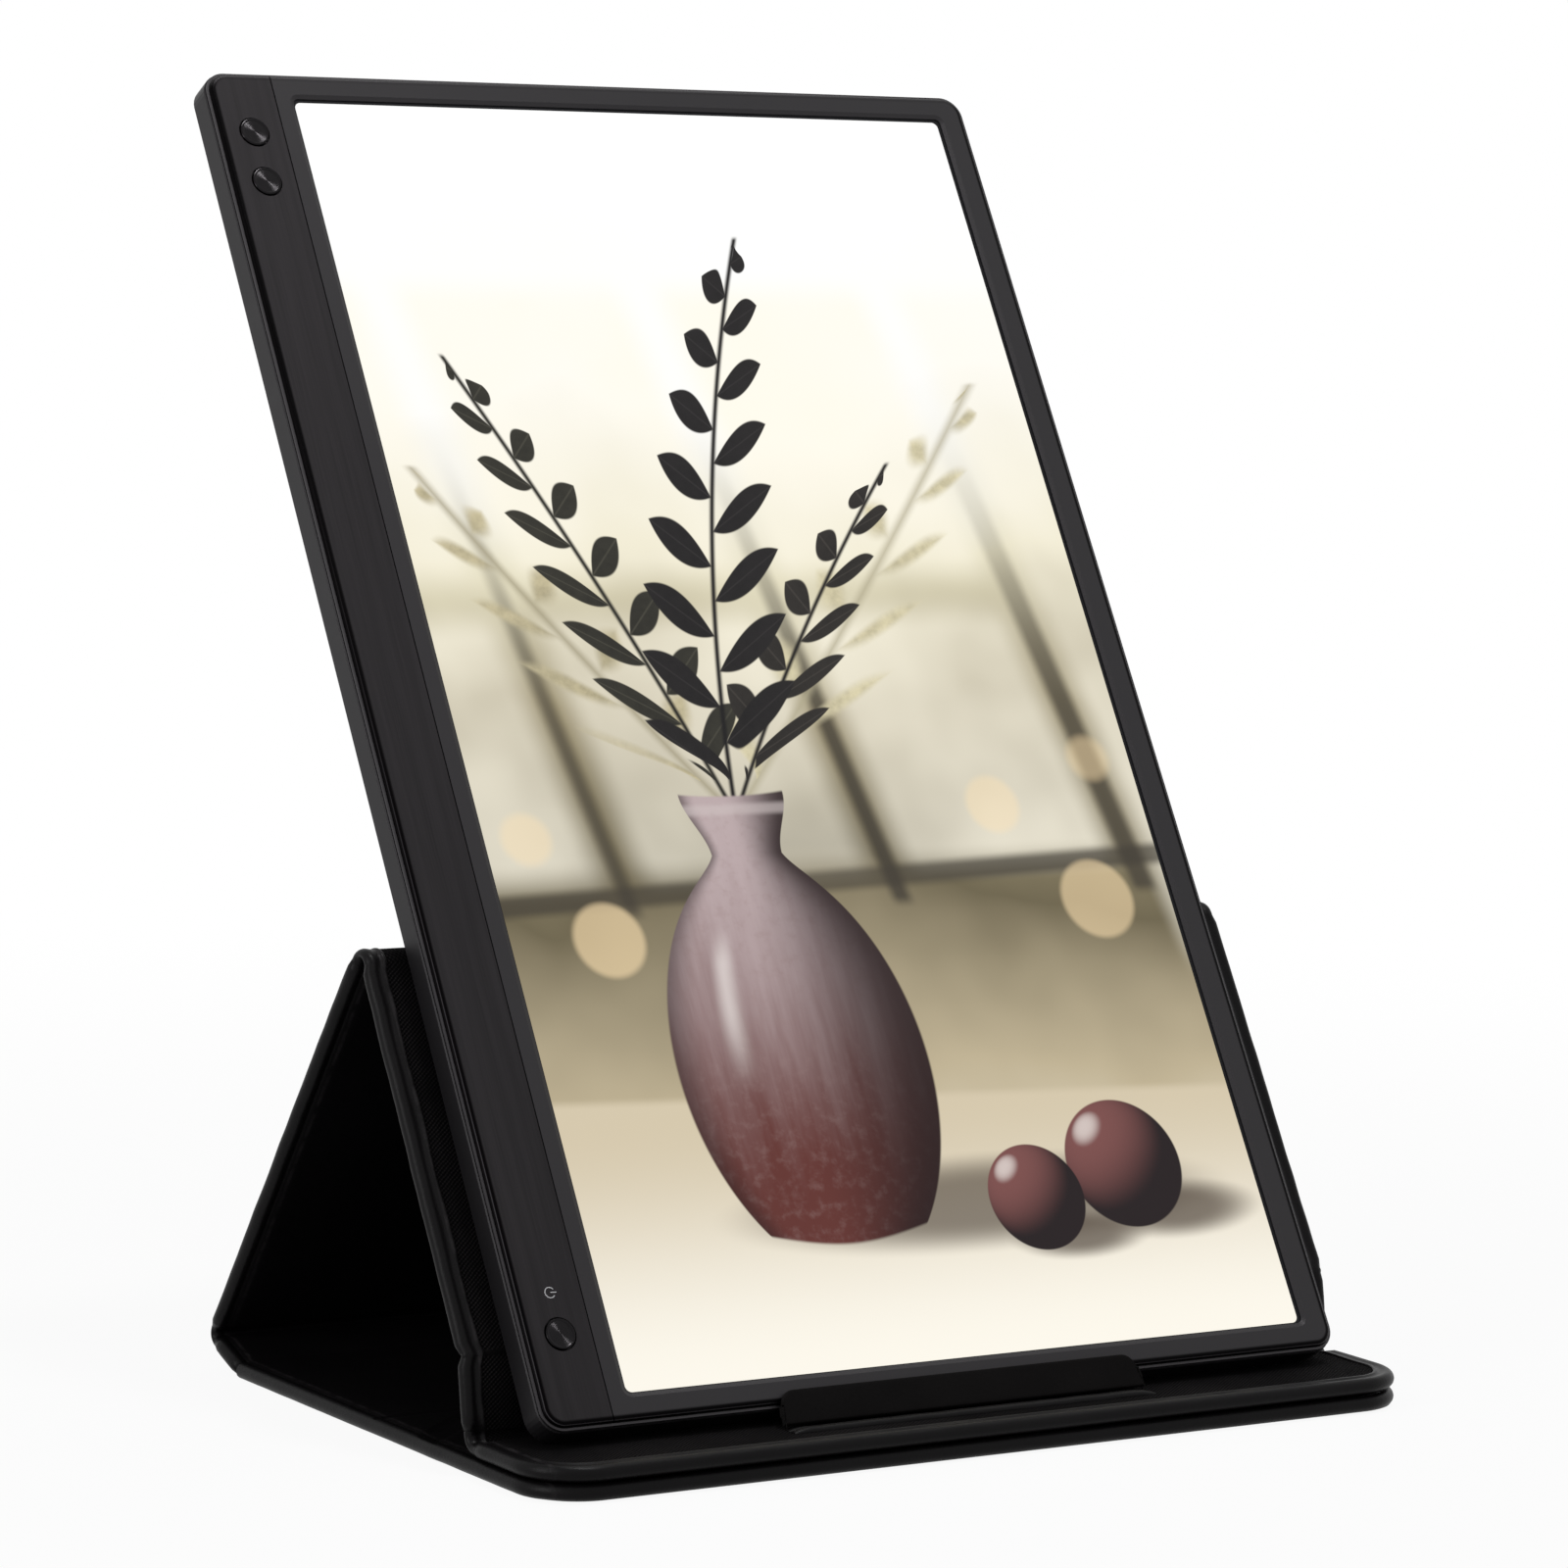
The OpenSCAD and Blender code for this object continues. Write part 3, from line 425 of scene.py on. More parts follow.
# painted shade and painted highlights: the rounded front edge is painted dark, the fine rim outside it and a
# fine line inside it are painted bright
def paintEdgeLight(finish, place, tone):
    corner = paintedEdgeLight["corner"]
    across = finish.size(finish.along(place, (1, 0, 0))) - (bodyHalf - corner)
    height = finish.along(place, monitorUp, monitorFoot + monitorUp * (bodyTall / 2))
    lengthwise = finish.size(height) - (bodyTall / 2 - corner)
    beyondX, beyondY = across.highest(0.0), lengthwise.highest(0.0)
    reach = (beyondX * beyondX + beyondY * beyondY).power(0.5)
    inward = corner - reach - across.highest(lengthwise).lowest(0.0)
    deep = finish.along(place, monitorOut, monitorFoot)
    start, full, low, end = paintedEdgeLight["band"]
    # rim is a painted highlight on the bezel's side, line is a painted highlight on the lower part only,
    # band is the painted shade and is weaker near the top edge
    rim = deep < paintedEdgeLight["rimBack"]
    line = 1 - finish.step(finish.size(inward - paintedEdgeLight["highlightLineAt"]), 0.0, paintedEdgeLight["highlightLineWide"])
    line = line * finish.step(height, bodyTall * 0.3, -bodyTall * 0.4)
    below = finish.step(height, bodyTall / 2 - 1.5 * mm, bodyTall / 2 - 5 * mm) * 0.85 + 0.15
    band = finish.step(inward, start, full) * (1 - finish.step(inward, low, end)) * (1 - rim) * below
    paintedShade = finish.blend(band, tone, paintedEdgeLight["paintedShade"])
    paintedShade = finish.blend(line * (1 - rim) * 0.7, paintedShade, paintedEdgeLight["rim"])
    return finish.blend(rim * 0.6, paintedShade, paintedEdgeLight["rim"]), band


shellBevelHighlight = {"back": -9.3 * mm, "front": -8.7 * mm, "tone": (0.04, 0.037, 0.04)}  # painted highlight along the shell's back bevel


def anodisedFinish(name, tone, rough, edged=False):
    finish = newFinish(name)
    place = finish.place()
    blast = finish.cloud(place, 2200.0, 2.0, 0.6)
    haze = finish.cloud(place, 9.0, 4.0, 0.55)
    touched = finish.step(finish.cloud(place, 34.0, 5.0, 0.65), 0.5, 0.8)
    shade = finish.blend(haze * 0.5 + blast * 0.15, tone, scaled(tone, 1.25))
    metal = 0.55
    if edged:
        shade, band = paintEdgeLight(finish, place, shade)
        metal = metal + (1 - metal) * band
    else:
        # painted highlight: the shell is painted brighter towards its back bevel
        deep = finish.along(place, monitorOut, monitorFoot)
        wearAndHighlight = 1 - finish.step(deep, shellBevelHighlight["back"], shellBevelHighlight["front"])
        shade = finish.blend(wearAndHighlight, shade, shellBevelHighlight["tone"])
    return finish.surface(Base_Color=shade, Metallic=metal,
                          Roughness=rough + 0.12 * haze - 0.05 * touched + 0.05 * blast,
                          Specular_IOR_Level=0.3, Normal=finish.bump(blast, 0.00001, 0.35))


def brushedFinish(name, tone, rough):
    finish = newFinish(name)
    place = finish.place()
    across = finish.along(place, (1, 0, 0))
    lengthwise = finish.along(place, monitorUp)
    hairs = finish.cloud(finish.join(across * 2600.0, lengthwise * 22.0), 1.0, 4.0, 0.7)
    bands = finish.cloud(finish.join(across * 420.0, lengthwise * 9.0, 3.0), 1.0, 3.0)
    hairs, bands = finish.step(hairs, 0.3, 0.7), finish.step(bands, 0.3, 0.7)
    haze = finish.cloud(place, 12.0)
    # painted light: the brushing is painted lighter towards the top
    low = finish.along(place, monitorUp, monitorFoot) / bodyTall
    shade = finish.blend(hairs * 0.4 + bands * 0.35 + low * 0.25, tone, scaled(tone, 2.1))
    shade, band = paintEdgeLight(finish, place, shade)
    return finish.surface(Base_Color=shade, Metallic=0.6 + 0.4 * band, Specular_IOR_Level=0.3,
                          Roughness=rough + 0.14 * hairs + 0.08 * haze,
                          Normal=finish.bump(hairs + bands * 0.4, 0.000012, 0.5))


def sheetMetalFinish(name, tone, rough=0.34):
    finish = newFinish(name)
    place = finish.place()
    rolled = finish.cloud(place, 300.0, 4.0, 0.6)
    stain = finish.cloud(place, 24.0, 4.0)
    shade = finish.blend(stain, tone, scaled(tone, 0.8))
    return finish.surface(Base_Color=shade, Metallic=0.95, Roughness=rough + 0.15 * rolled,
                          Normal=finish.bump(rolled, 0.00001, 0.4))


def mouldedFinish(name, tone, rough=0.5, coat=0.0):
    finish = newFinish(name)
    place = finish.place()
    texture = finish.cloud(place, 1500.0, 3.0, 0.6)
    flow = finish.cloud(place, 30.0)
    shade = finish.blend(flow, tone, scaled(tone, 0.88))
    return finish.surface(Base_Color=shade, Roughness=rough + 0.12 * texture, Coat_Weight=coat,
                          Normal=finish.bump(texture, 0.00001, 0.4))


def circuitFinish(name):
    finish = newFinish(name)
    place = finish.place()
    bricks = finish.add("TexVoronoi", {"distance": "CHEBYCHEV"}, {"Vector": place, "Scale": 380.0},
                        "Distance")
    tracks = finish.step(bricks, 0.42, 0.5)
    weave = finish.cloud(place, 900.0, 2.0)
    shade = finish.blend(tracks, (0.012, 0.085, 0.045), (0.03, 0.16, 0.08))
    return finish.surface(Base_Color=shade, Roughness=0.35 + 0.15 * weave,
                          Normal=finish.bump(tracks, 0.00003, 0.6))


def boardFinish(name):
    finish = newFinish(name)
    place = finish.place()
    pulp = finish.cloud(place, 420.0, 6.0, 0.75)
    flecks = finish.step(finish.cloud(place, 1300.0, 2.0), 0.62, 0.7)
    shade = finish.blend(pulp, (0.2, 0.17, 0.135), (0.3, 0.26, 0.21))
    return finish.surface(Base_Color=finish.blend(flecks * 0.5, shade, (0.09, 0.08, 0.07)),
                          Roughness=0.85 + 0.1 * pulp, Normal=finish.bump(pulp, 0.00005, 0.6))


screenSizes = {
    "left": -89.8 * mm, "foot": 7.4 * mm, "width": 194.6 * mm, "height": 345.2 * mm,
    "borderAndShadow": (0.3 * mm, 1.0 * mm, 0.3 * mm, 0.9 * mm),  # dark edge, a thin black border all round plus painted shadow of the bezel at right and top: left, right, foot, top
    "round": 1.7 * mm,
    "glow": 1.0,
}
# the picture, in widths of the screen: a glazed vase with leafy stems before a bright window
vaseLook = {"x": 0.37, "foot": 0.17, "tall": 0.6, "belly": 0.185, "bellyAt": 0.38, "neck": 0.052,
            "low": (0.12, 0.03, 0.024), "high": (0.5, 0.4, 0.405), "shade": (0.016, 0.006, 0.006)}
stemLooks = [  # slope, bend, height, leaf length, leaf spacing, softness, tone
    (-0.75, 0.15, 0.5, 0.12, 0.1, 0.02, (0.34, 0.3, 0.19)),
    (0.95, -0.1, 0.62, 0.13, 0.11, 0.024, (0.42, 0.38, 0.25)),
    (-0.3, -0.12, 0.66, 0.1, 0.085, 0.003, (0.02, 0.019, 0.014)),
    (0.62, 0.28, 0.5, 0.095, 0.08, 0.003, (0.016, 0.014, 0.012)),
    (0.12, 0.2, 0.84, 0.12, 0.1, 0.003, (0.009, 0.008, 0.008)),
]
panes = [  # from x, to x, from height, to height
    (-0.2, 0.13, 0.66, 1.02), (0.19, 0.52, 0.66, 1.02), (0.58, 0.9, 0.66, 1.02), (0.19, 0.52, 1.08, 1.5),
    (0.58, 0.9, 1.08, 1.5), (-0.2, 0.13, 1.08, 1.5), (0.96, 1.3, 0.5, 1.5)]
bars = [(0.155, 0.011, 0.7), (0.552, 0.013, 0.85), (0.93, 0.017, 0.8)]  # x, half width, depth of tone
glows = [  # x, height, radius, brightness of the blurred lights
    (0.14, 0.58, 0.05, 0.5), (0.06, 0.72, 0.035, 0.4), (0.88, 0.6, 0.055, 0.45), (0.76, 0.74, 0.04, 0.4),
    (0.93, 0.8, 0.032, 0.35)]
fruits = [(0.8, 0.235, 0.088), (0.655, 0.2, 0.072)]  # x, height, radius


def screenFinish(name):
    finish = newFinish(name)
    step, size, blend, cloud, join = finish.step, finish.size, finish.blend, finish.cloud, finish.join
    place = finish.place()
    wide, tall = screenSizes["width"], screenSizes["height"]
    left = finish.along(place, (1, 0, 0)) - screenSizes["left"]
    up = finish.along(place, monitorUp, monitorFoot) - screenSizes["foot"]
    u, v = left / wide, up / wide
    mist = cloud(join(u, v), 2.4)
    grain = cloud(join(u, v, 5.0), 60.0, 3.0, 0.6)
    picture = finish.add("ValToRGB", {"stops": [
        (0.0, (0.86, 0.79, 0.63)), (1.0, (1.0, 1.0, 1.0)), (0.2, (0.52, 0.44, 0.29)),
        (0.36, (0.15, 0.125, 0.07)), (0.5, (0.33, 0.28, 0.165)), (0.62, (0.78, 0.73, 0.54)),
        (0.75, (0.985, 0.98, 0.955)),
    ]}, (v * (wide / tall) + (mist - 0.5) * 0.22,), "Color")

    def rise(value, at, soft):
        return step(value, at - soft, at + soft)

    def within(value, low, high, soft):
        return rise(value, low, soft) * (1 - rise(value, high, soft))

    def cover(borderAndShadow, colour):
        nonlocal picture
        picture = blend(borderAndShadow, picture, colour)

    slant = u + (v - 0.8) * 0.16
    for x0, x1, y0, y1 in panes:
        pane = within(slant, x0, x1, 0.03) * within(v, y0, y1, 0.03)
        cover(pane * (step(mist, 0.2, 0.75) * 0.45 + 0.3), (1.0, 0.95, 0.8))
    for at, halfWide, depth in bars:
        bar = 1 - rise(size(slant - at), halfWide, 0.01)
        cover(bar * step(v, 1.3, 0.85) * rise(v, 0.61, 0.01) * depth, (0.045, 0.038, 0.028))
    sill = (1 - rise(size(v - 0.63 - u * 0.03), 0.014, 0.008)) * (0.55 + 0.4 * mist)
    cover(sill, (0.05, 0.042, 0.03))
    for x, y, radius, glow in glows:
        dx, dy = u - x, v - y
        cover((1 - rise(dx * dx + dy * dy, radius ** 2, 0.0006)) * glow, (0.98, 0.76, 0.45))
    table = blend(step(v, 0.0, 0.34), (0.97, 0.93, 0.83), (0.66, 0.57, 0.41))
    cover(1 - rise(v + u * 0.04, 0.37, 0.008), table)

    def shadow(x, y, long, high, depth):
        dx, dy = (u - x) / long, (v - y) / high
        cover((1 - step(dx * dx + dy * dy, 0.1, 1.0)) * depth, (0.09, 0.065, 0.045))

    shadow(vaseLook["x"] + 0.2, vaseLook["foot"] + 0.03, 0.4, 0.07, 0.8)
    for x, y, radius in fruits:
        shadow(x + radius * 0.7, y - radius * 0.75, radius * 1.6, radius * 0.5, 0.85)

    mouth = vaseLook["foot"] + vaseLook["tall"]
    for slope, bend, high, long, spacing, soft, tone in stemLooks:
        h = v - mouth + 0.03
        side = u - vaseLook["x"] - h * slope - h * h * bend
        off = size(side)
        inside = within(h, 0.0, high, 0.004)
        line = 1 - rise(off, 0.0035, 0.0015 + soft * 0.5)
        reach = long * (1 - 0.75 * (1 / high) * h * h * (1 / high)) * rise(h, 0.09, 0.05) * (
            1 - rise(h, high - 0.03, 0.03))
        along = (h - off * 0.75) / spacing + (side > 0) * 0.5
        share = off / reach
        width = share * (1 - share) * (long * 0.95)
        middle = size(along.sums("FRACT", along) - 0.5) * spacing
        leaf = rise(width - middle, soft * 0.6, soft * 0.55) * (share < 1) * (h > 0.05)
        cover(line * inside, tone)
        rib = (1 - rise(middle, 0.0012, 0.0008)) * (0.5 if soft < 0.01 else 0.0)
        lit = step(grain * 0.5 + mist * 0.6 + share * 0.2, 0.35, 0.9)
        shade = blend(lit, tone, scaled(tone, 1.8))
        cover(leaf * inside, blend(rib, shade, scaled(tone, 4)))

    t = (v - vaseLook["foot"]) / vaseLook["tall"]
    swell = (t - vaseLook["bellyAt"]) / 0.48
    belly = (1 - swell * swell).highest(0.0).power(0.55) * vaseLook["belly"]
    neck = step(t, 0.86, 1.0) * 0.026 + vaseLook["neck"]
    radius = belly.sums("SMOOTH_MAX", belly, neck, 0.07)
    s = (u - vaseLook["x"]) / radius
    foot, brim = t + (1 - s * s) * 0.03, t - s * s * 0.008
    form = (1 - rise(size(s), 0.99, 0.012)) * rise(foot, 0.015, 0.005) * (1 - rise(brim, 0.995, 0.004))
    runs = cloud(join(u * 26.0, v * 3.0), 1.0, 4.0, 0.6)
    glaze = blend(step(t + (runs - 0.5) * 0.45, 0.1, 0.95), vaseLook["low"], vaseLook["high"])
    glaze = blend(step(grain, 0.45, 0.8) * 0.3, glaze, (0.3, 0.2, 0.19))
    turned = step(s, -0.25, 1.0) * 0.95
    turned = turned.highest(step(s, -0.7, -1.05) * 0.7)
    glaze = blend(turned, glaze, vaseLook["shade"])
    shine = 1 - rise(size(s + 0.48 + (t - 0.5) * 0.1), 0.07, 0.07)
    shine = shine * rise(t, 0.42, 0.1) * (1 - rise(t, 0.66, 0.05))
    glaze = blend(shine * 0.5, glaze, (0.93, 0.87, 0.84))
    glaze = blend((1 - rise(size(t - 0.965), 0.012, 0.008)) * 0.5, glaze, (0.62, 0.54, 0.53))
    cover(form, glaze)
    for x, y, radius in fruits:
        dx, dy = (u - x) / radius, (v - y) / radius
        far = dx * dx + dy * dy
        facing = (1 - far).highest(0.0).power(0.5) * 0.62 - dx * 0.5 + dy * 0.6
        skin = blend(step(facing, 0.1, 1.0), (0.014, 0.008, 0.009), (0.2, 0.075, 0.07))
        skin = blend(step(facing, 0.93, 1.0) * 0.6, skin, (0.92, 0.85, 0.8))
        cover(1 - rise(far, 0.97, 0.03), skin)

    # the dark edge is a thin border all round plus painted shadow of the bezel along the right and top
    leftMask, rightBorderAndShadow, footMask, topBorderAndShadow = screenSizes["borderAndShadow"]
    midX, midUp = (wide + leftMask - rightBorderAndShadow) / 2, (tall + footMask - topBorderAndShadow) / 2
    outX = size(left - midX) - ((wide - leftMask - rightBorderAndShadow) / 2 - screenSizes["round"])
    outUp = size(up - midUp) - ((tall - footMask - topBorderAndShadow) / 2 - screenSizes["round"])
    outX, outUp = outX.highest(0.0), outUp.highest(0.0)
    corner = (outX * outX + outUp * outUp) < screenSizes["round"] ** 2
    return finish.surface(Base_Color=(0.004, 0.004, 0.0045), Roughness=0.32 + 0.05 * mist,
                          Specular_IOR_Level=0.12, Emission_Strength=screenSizes["glow"],
                          Emission_Color=blend(corner, (0.002, 0.002, 0.003), picture))


metalTone = (0.0232, 0.0217, 0.0235)
finishes = {
    "leather": leatherFinish("leather"),
    "twill": twillFinish("twill"),
    "suede": suedeFinish("suede"),
    "bezel": anodisedFinish("bezelAnodised", metalTone, 0.36, edged=True),
    "shell": anodisedFinish("shellAnodised", (0.0125, 0.0115, 0.0128), 0.4),
    "strip": brushedFinish("stripBrushed", (0.0094, 0.0082, 0.0092), 0.34),
    "steel": sheetMetalFinish("platedSteel", (0.55, 0.55, 0.57)),
    "plate": sheetMetalFinish("rolledAluminium", (0.62, 0.63, 0.65), 0.4),
    "screen": screenFinish("litScreen"),
    "circuit": circuitFinish("solderMask"),
    "board": boardFinish("greyBoard"),
    "white": mouldedFinish("whiteMoulding", (0.8, 0.8, 0.78)),
    "film": mouldedFinish("whiteFilm", (0.88, 0.89, 0.9), 0.35),
    "guide": mouldedFinish("clearGuide", (0.74, 0.8, 0.84), 0.12, 0.5),
    "lamp": mouldedFinish("lampPhosphor", (0.82, 0.72, 0.28), 0.4),
    "flex": mouldedFinish("amberFlex", (0.42, 0.2, 0.05), 0.35, 0.3),
    "ink": mouldedFinish("paleInk", (0.6, 0.6, 0.62), 0.6),
}
nodeLooks = {
    "bezel": ["front_bezel"], "strip": ["control_strip"], "shell": ["rear_shell"], "screen": ["lcd_cell"],
    "film": ["optical_films", "reflector_sheet", "display_cable"], "guide": ["light_guide"],
    "lamp": ["lamp_bar"], "white": ["display_frame", "tactile_switches"], "plate": ["display_plate"],
    "circuit": ["display_driver_board", "main_board", "button_board"], "flex": ["display_flexes"],
    "steel": ["board_shield", "board_screws", "usb_c_port", "keeper_plates", "floor_magnets",
              "front_magnets", "tray_magnets"],
    "board": ["floor_board_front", "floor_board_rear", "spine_board", "rear_board", "front_board",
              "tray_board", "lip_stiffener"],
}
for look, nodes in nodeLooks.items():
    for node in nodes:
        frame["nodes"][node].data.materials.clear()
        frame["nodes"][node].data.materials.append(finishes[look])
print("finishes are on the frame's pieces")


def makePiece(bm, name, look, space=None, smooth=True, cloth=None, crease=75):
    bmesh.ops.remove_doubles(bm, verts=bm.verts, dist=0.000002)
    bmesh.ops.recalc_face_normals(bm, faces=bm.faces)
    if cloth:
        storeCloth(bm, cloth)
    if space:
        bmesh.ops.transform(bm, matrix=space, verts=bm.verts)
        bmesh.ops.recalc_face_normals(bm, faces=bm.faces)
    for face in bm.faces:
        face.smooth = smooth
    for edge in bm.edges:
        edge.smooth = len(edge.link_faces) != 2 or edge.calc_face_angle() < math.radians(crease)
    mesh = bpy.data.meshes.new(name)
    bm.to_mesh(mesh)
    bm.free()
    mesh.materials.append(finishes[look] if isinstance(look, str) else look)
    return addObject(name, mesh)


# the twill is laid out flat: x across the cover, y along the whole strip of panels
def storeCloth(bm, cloth):
    layer = bm.verts.layers.float_vector.new("cloth")
    for vert in bm.verts:
        vert[layer] = cloth(vert.co)


# cross-section of one long edge: s runs in from the edge, z from the lining's side to the leather's
edgeLook = {
    "beadSteps": 12,
    "band": 0.34,      # how deep the turned leather lies between the bead and its raised hem, millimetres
    "seam": 0.22,      # depth of the pressed line on the leather side, millimetres
}


def edgeSection():
    steps, band, seam = edgeLook["beadSteps"], edgeLook["band"], edgeLook["seam"]
    points = [(6.6, 0.95), (5.2, 0.95), (5.2, 0.4), (5.05, 0.14), (4.8, 0.02), (4.5, 0.03), (4.2, 0.12),
              (3.95, band), (3.4, band + 0.05), (2.8, band - 0.02), (2.45, 0.16)]
    for i in range(steps + 1):
        angle = math.radians(262 - 164 * i / steps)
        points.append((2 + 2 * math.cos(angle), 2 + 2 * math.sin(angle)))
    points += [(2.5, 3.95), (2.8, 4 - seam * 0.8), (3.0, 4 - seam), (3.25, 4 - seam * 0.8), (3.6, 3.98),
               (6.6, 4.0)]
    return [(s * mm, z * mm) for s, z in points]


def openSection(bm, y):
    verts = [bm.verts.new((s - half, y, z)) for s, z in edgeSection()]
    return [bm.edges.new(pair) for pair in zip(verts, verts[1:])]


def fullSection(bm, y):
    left = [(s - half, z) for s, z in edgeSection()]
    right = [(-x, z) for x, z in reversed(left)]
    verts = [bm.verts.new((x, y, z)) for x, z in left + right]
    return [bm.edges.new(pair) for pair in zip(verts, verts[1:] + verts[:1])]


def liningSection(bm, y):
    level, depth = coverSizes["liningLevel"], coverSizes["recess"]
    reach = half - liningInset
    soft = 0.35 * mm
    left = [(-reach, depth), (-reach, level + soft * 0.6), (-reach + soft * 0.5, level + soft * 0.15),
            (-reach + soft * 1.6, level)]
    middle = [(x * half * 0.22, level) for x in range(-4, 5)]
    right = [(-x, z) for x, z in reversed(left)]
    verts = [bm.verts.new((x, y, z)) for x, z in left + middle + right]
    return [bm.edges.new(pair) for pair in zip(verts, verts[1:] + verts[:1])]


def vertsOf(made):
    return [item for item in made if isinstance(item, bmesh.types.BMVert)]


# pulls a ring of edges along in equal steps and gives the last one
def drawOut(bm, ring, travel, count):
    for _ in range(count):
        made = bmesh.ops.extrude_edge_only(bm, edges=ring)["geom"]
        verts = vertsOf(made)
        bmesh.ops.translate(bm, vec=Vector(travel) / count, verts=verts)
        moved = set(verts)
        ring = [item for item in made if isinstance(item, bmesh.types.BMEdge) and set(item.verts) <= moved]
    return ring


def turnRound(bm, ring, centre, axis, angle, steps):
    made = bmesh.ops.spin(bm, geom=ring, cent=centre, axis=axis, angle=angle, steps=steps,
                          use_merge=False)["geom_last"]
    return [g for g in made if isinstance(g, bmesh.types.BMEdge)]


def closeEnds(bm, *rings):
    for ring in rings:
        bmesh.ops.edgeloop_fill(bm, edges=ring)


def closedRun(bm, ring, travel, count):
    first = list(ring)
    closeEnds(bm, first, drawOut(bm, ring, travel, count))


def thicken(bm, height):
    made = bmesh.ops.extrude_face_region(bm, geom=bm.faces[:])["geom"]
    bmesh.ops.translate(bm, vec=(0, 0, height), verts=vertsOf(made))


ripple = {"height": 0.42 * mm, "scale": 130.0, "slowHeight": 0.4 * mm, "slowScale": 48.0}


# hand-made unevenness of the hem and the bead; space keeps neighbours' ends alike
def rippleEdges(bm, space, amount=1.0):
    for vert in bm.verts:
        s = half - abs(vert.co.x)
        if vert.co.z < 0.6 * mm or s < 3 * mm:
            place = space @ vert.co
            small = noise.noise(place * ripple["scale"]) * ripple["height"]
            slow = noise.noise(place * ripple["slowScale"] + Vector((7, 3, 1))) * ripple["slowHeight"]
            inward = 1 if s > 3 * mm else 0.35
            vert.co.x += (small + slow) * inward * amount * (-1 if vert.co.x > 0 else 1)
            if 0.3 * mm < vert.co.z < 3.4 * mm and s > 3 * mm:
                vert.co.z += small * 0.4 * amount


endPinch = {"start": 0.14, "reach": 2.6 * mm, "drawIn": 0.005}


# a panel gets thinner where its board ends, on the side that the fold closes to
def pinchEnds(bm, length, startSide, endSide):
    for vert in bm.verts:
        for side, distance in ((startSide, vert.co.y), (endSide, length - vert.co.y)):
            if side and distance < endPinch["reach"]:
                near = (1 - distance / endPinch["reach"]) ** 2
                share = 1 - endPinch["start"] * near
                vert.co.x *= 1 - endPinch["drawIn"] * near
                if side == "leather":
                    vert.co.z *= share
                else:
                    vert.co.z = thick - (thick - vert.co.z) * share


def clothOf(start, back=False):
    sign = -1 if back else 1
    return lambda co: (co.x, start + sign * co.y, co.z)


foldCloth = 8 * mm
coverRun = {}  # where each panel starts along the whole strip of cloth
clothSoFar = 0.0
for name in ("tray", "trayFold", "strip", "stripFold", "front", "apexFold", "rear", "spineFold",
             "spine", "floorFold", "floor"):
    coverRun[name] = clothSoFar
    clothSoFar += lengths.get(name, foldCloth)
meshSteps = {"leather": 2.2 * mm, "lining": 6 * mm, "roundPanel": 2.4 * mm, "plan": 8 * mm, "foldDegrees": 7}


def betweenPanel(name, pinches):
    length, space = lengths[name], spaces[name]
    bm = bmesh.new()
    closedRun(bm, fullSection(bm, 0), (0, length, 0), max(6, round(length / meshSteps["leather"])))
    rippleEdges(bm, space)
    pinchEnds(bm, length, *pinches)
    leather = makePiece(bm, name + "Leather", "leather", space)
    bm = bmesh.new()
    closedRun(bm, liningSection(bm, 0), (0, length, 0), max(4, round(length / meshSteps["lining"])))
    pinchEnds(bm, length, *pinches)
    return leather, makePiece(bm, name + "Lining", "twill", space, cloth=clothOf(coverRun[name]))


# a panel with round front corners: its edge is drawn round three sides
def frontPanel(name):
    length, corner = lengths[name], coverSizes["corner"]
    sideways, straight = 2 * (half - corner), length - corner
    step = meshSteps["roundPanel"]
    bm = bmesh.new()
    ring = drawOut(bm, openSection(bm, length), (0, -straight, 0), round(straight / step))
    ring = turnRound(bm, ring, (corner - half, corner, 0), (0, 0, 1), math.pi / 2, 14)
    ring = drawOut(bm, ring, (sideways, 0, 0), round(sideways / step))
    ring = turnRound(bm, ring, (half - corner, corner, 0), (0, 0, 1), math.pi / 2, 14)
    drawOut(bm, ring, (0, straight, 0), round(straight / step))
    bmesh.ops.remove_doubles(bm, verts=bm.verts, dist=0.000001)

    def atEnd(vert):
        return abs(vert.co.y - length) < 1e-6

    for lining in (True, False):
        rim = [edge for edge in bm.edges if edge.is_boundary and all(
            (vert.co.z < thick / 2) == lining and not atEnd(vert) for vert in edge.verts)]
        ends = [vert for edge in bm.edges if edge.is_boundary for vert in edge.verts
                if atEnd(vert) and half - abs(vert.co.x) > 6.5 * mm and (vert.co.z < thick / 2) == lining]
        ends.sort(key=lambda vert: vert.co.x)
        link = bm.edges.new((ends[0], ends[-1]))
        near = [edge for edge in bm.edges if edge.is_boundary and set(edge.verts) & set(link.verts)
                and abs(edge.verts[0].co.y - edge.verts[1].co.y) > 1e-6]
        closeEnds(bm, list(set(rim + near + [link])))
    closeEnds(bm, [edge for edge in bm.edges if edge.is_boundary])
    return bm


def clothPlan(name, level, depth):
    length = lengths[name]
    wide = half - liningInset
    rows = max(4, round(length / meshSteps["plan"]))
    bm = bmesh.new()
    bmesh.ops.create_grid(bm, x_segments=24, y_segments=rows, size=1)
    for vert in bm.verts:
        vert.co.x *= wide
        vert.co.y = liningInset + (vert.co.y + 1) / 2 * (length - liningInset)
        vert.co.z = level
    corners = [v for v in bm.verts if abs(v.co.y - liningInset) < 1e-7 and wide - abs(v.co.x) < 1e-7]
    bmesh.ops.bevel(bm, geom=corners, offset=coverSizes["corner"] - liningInset, offset_type="OFFSET",
                    segments=10, profile=0.5, affect="VERTICES", material=-1, clamp_overlap=False)
    thicken(bm, depth - level)
    return bm


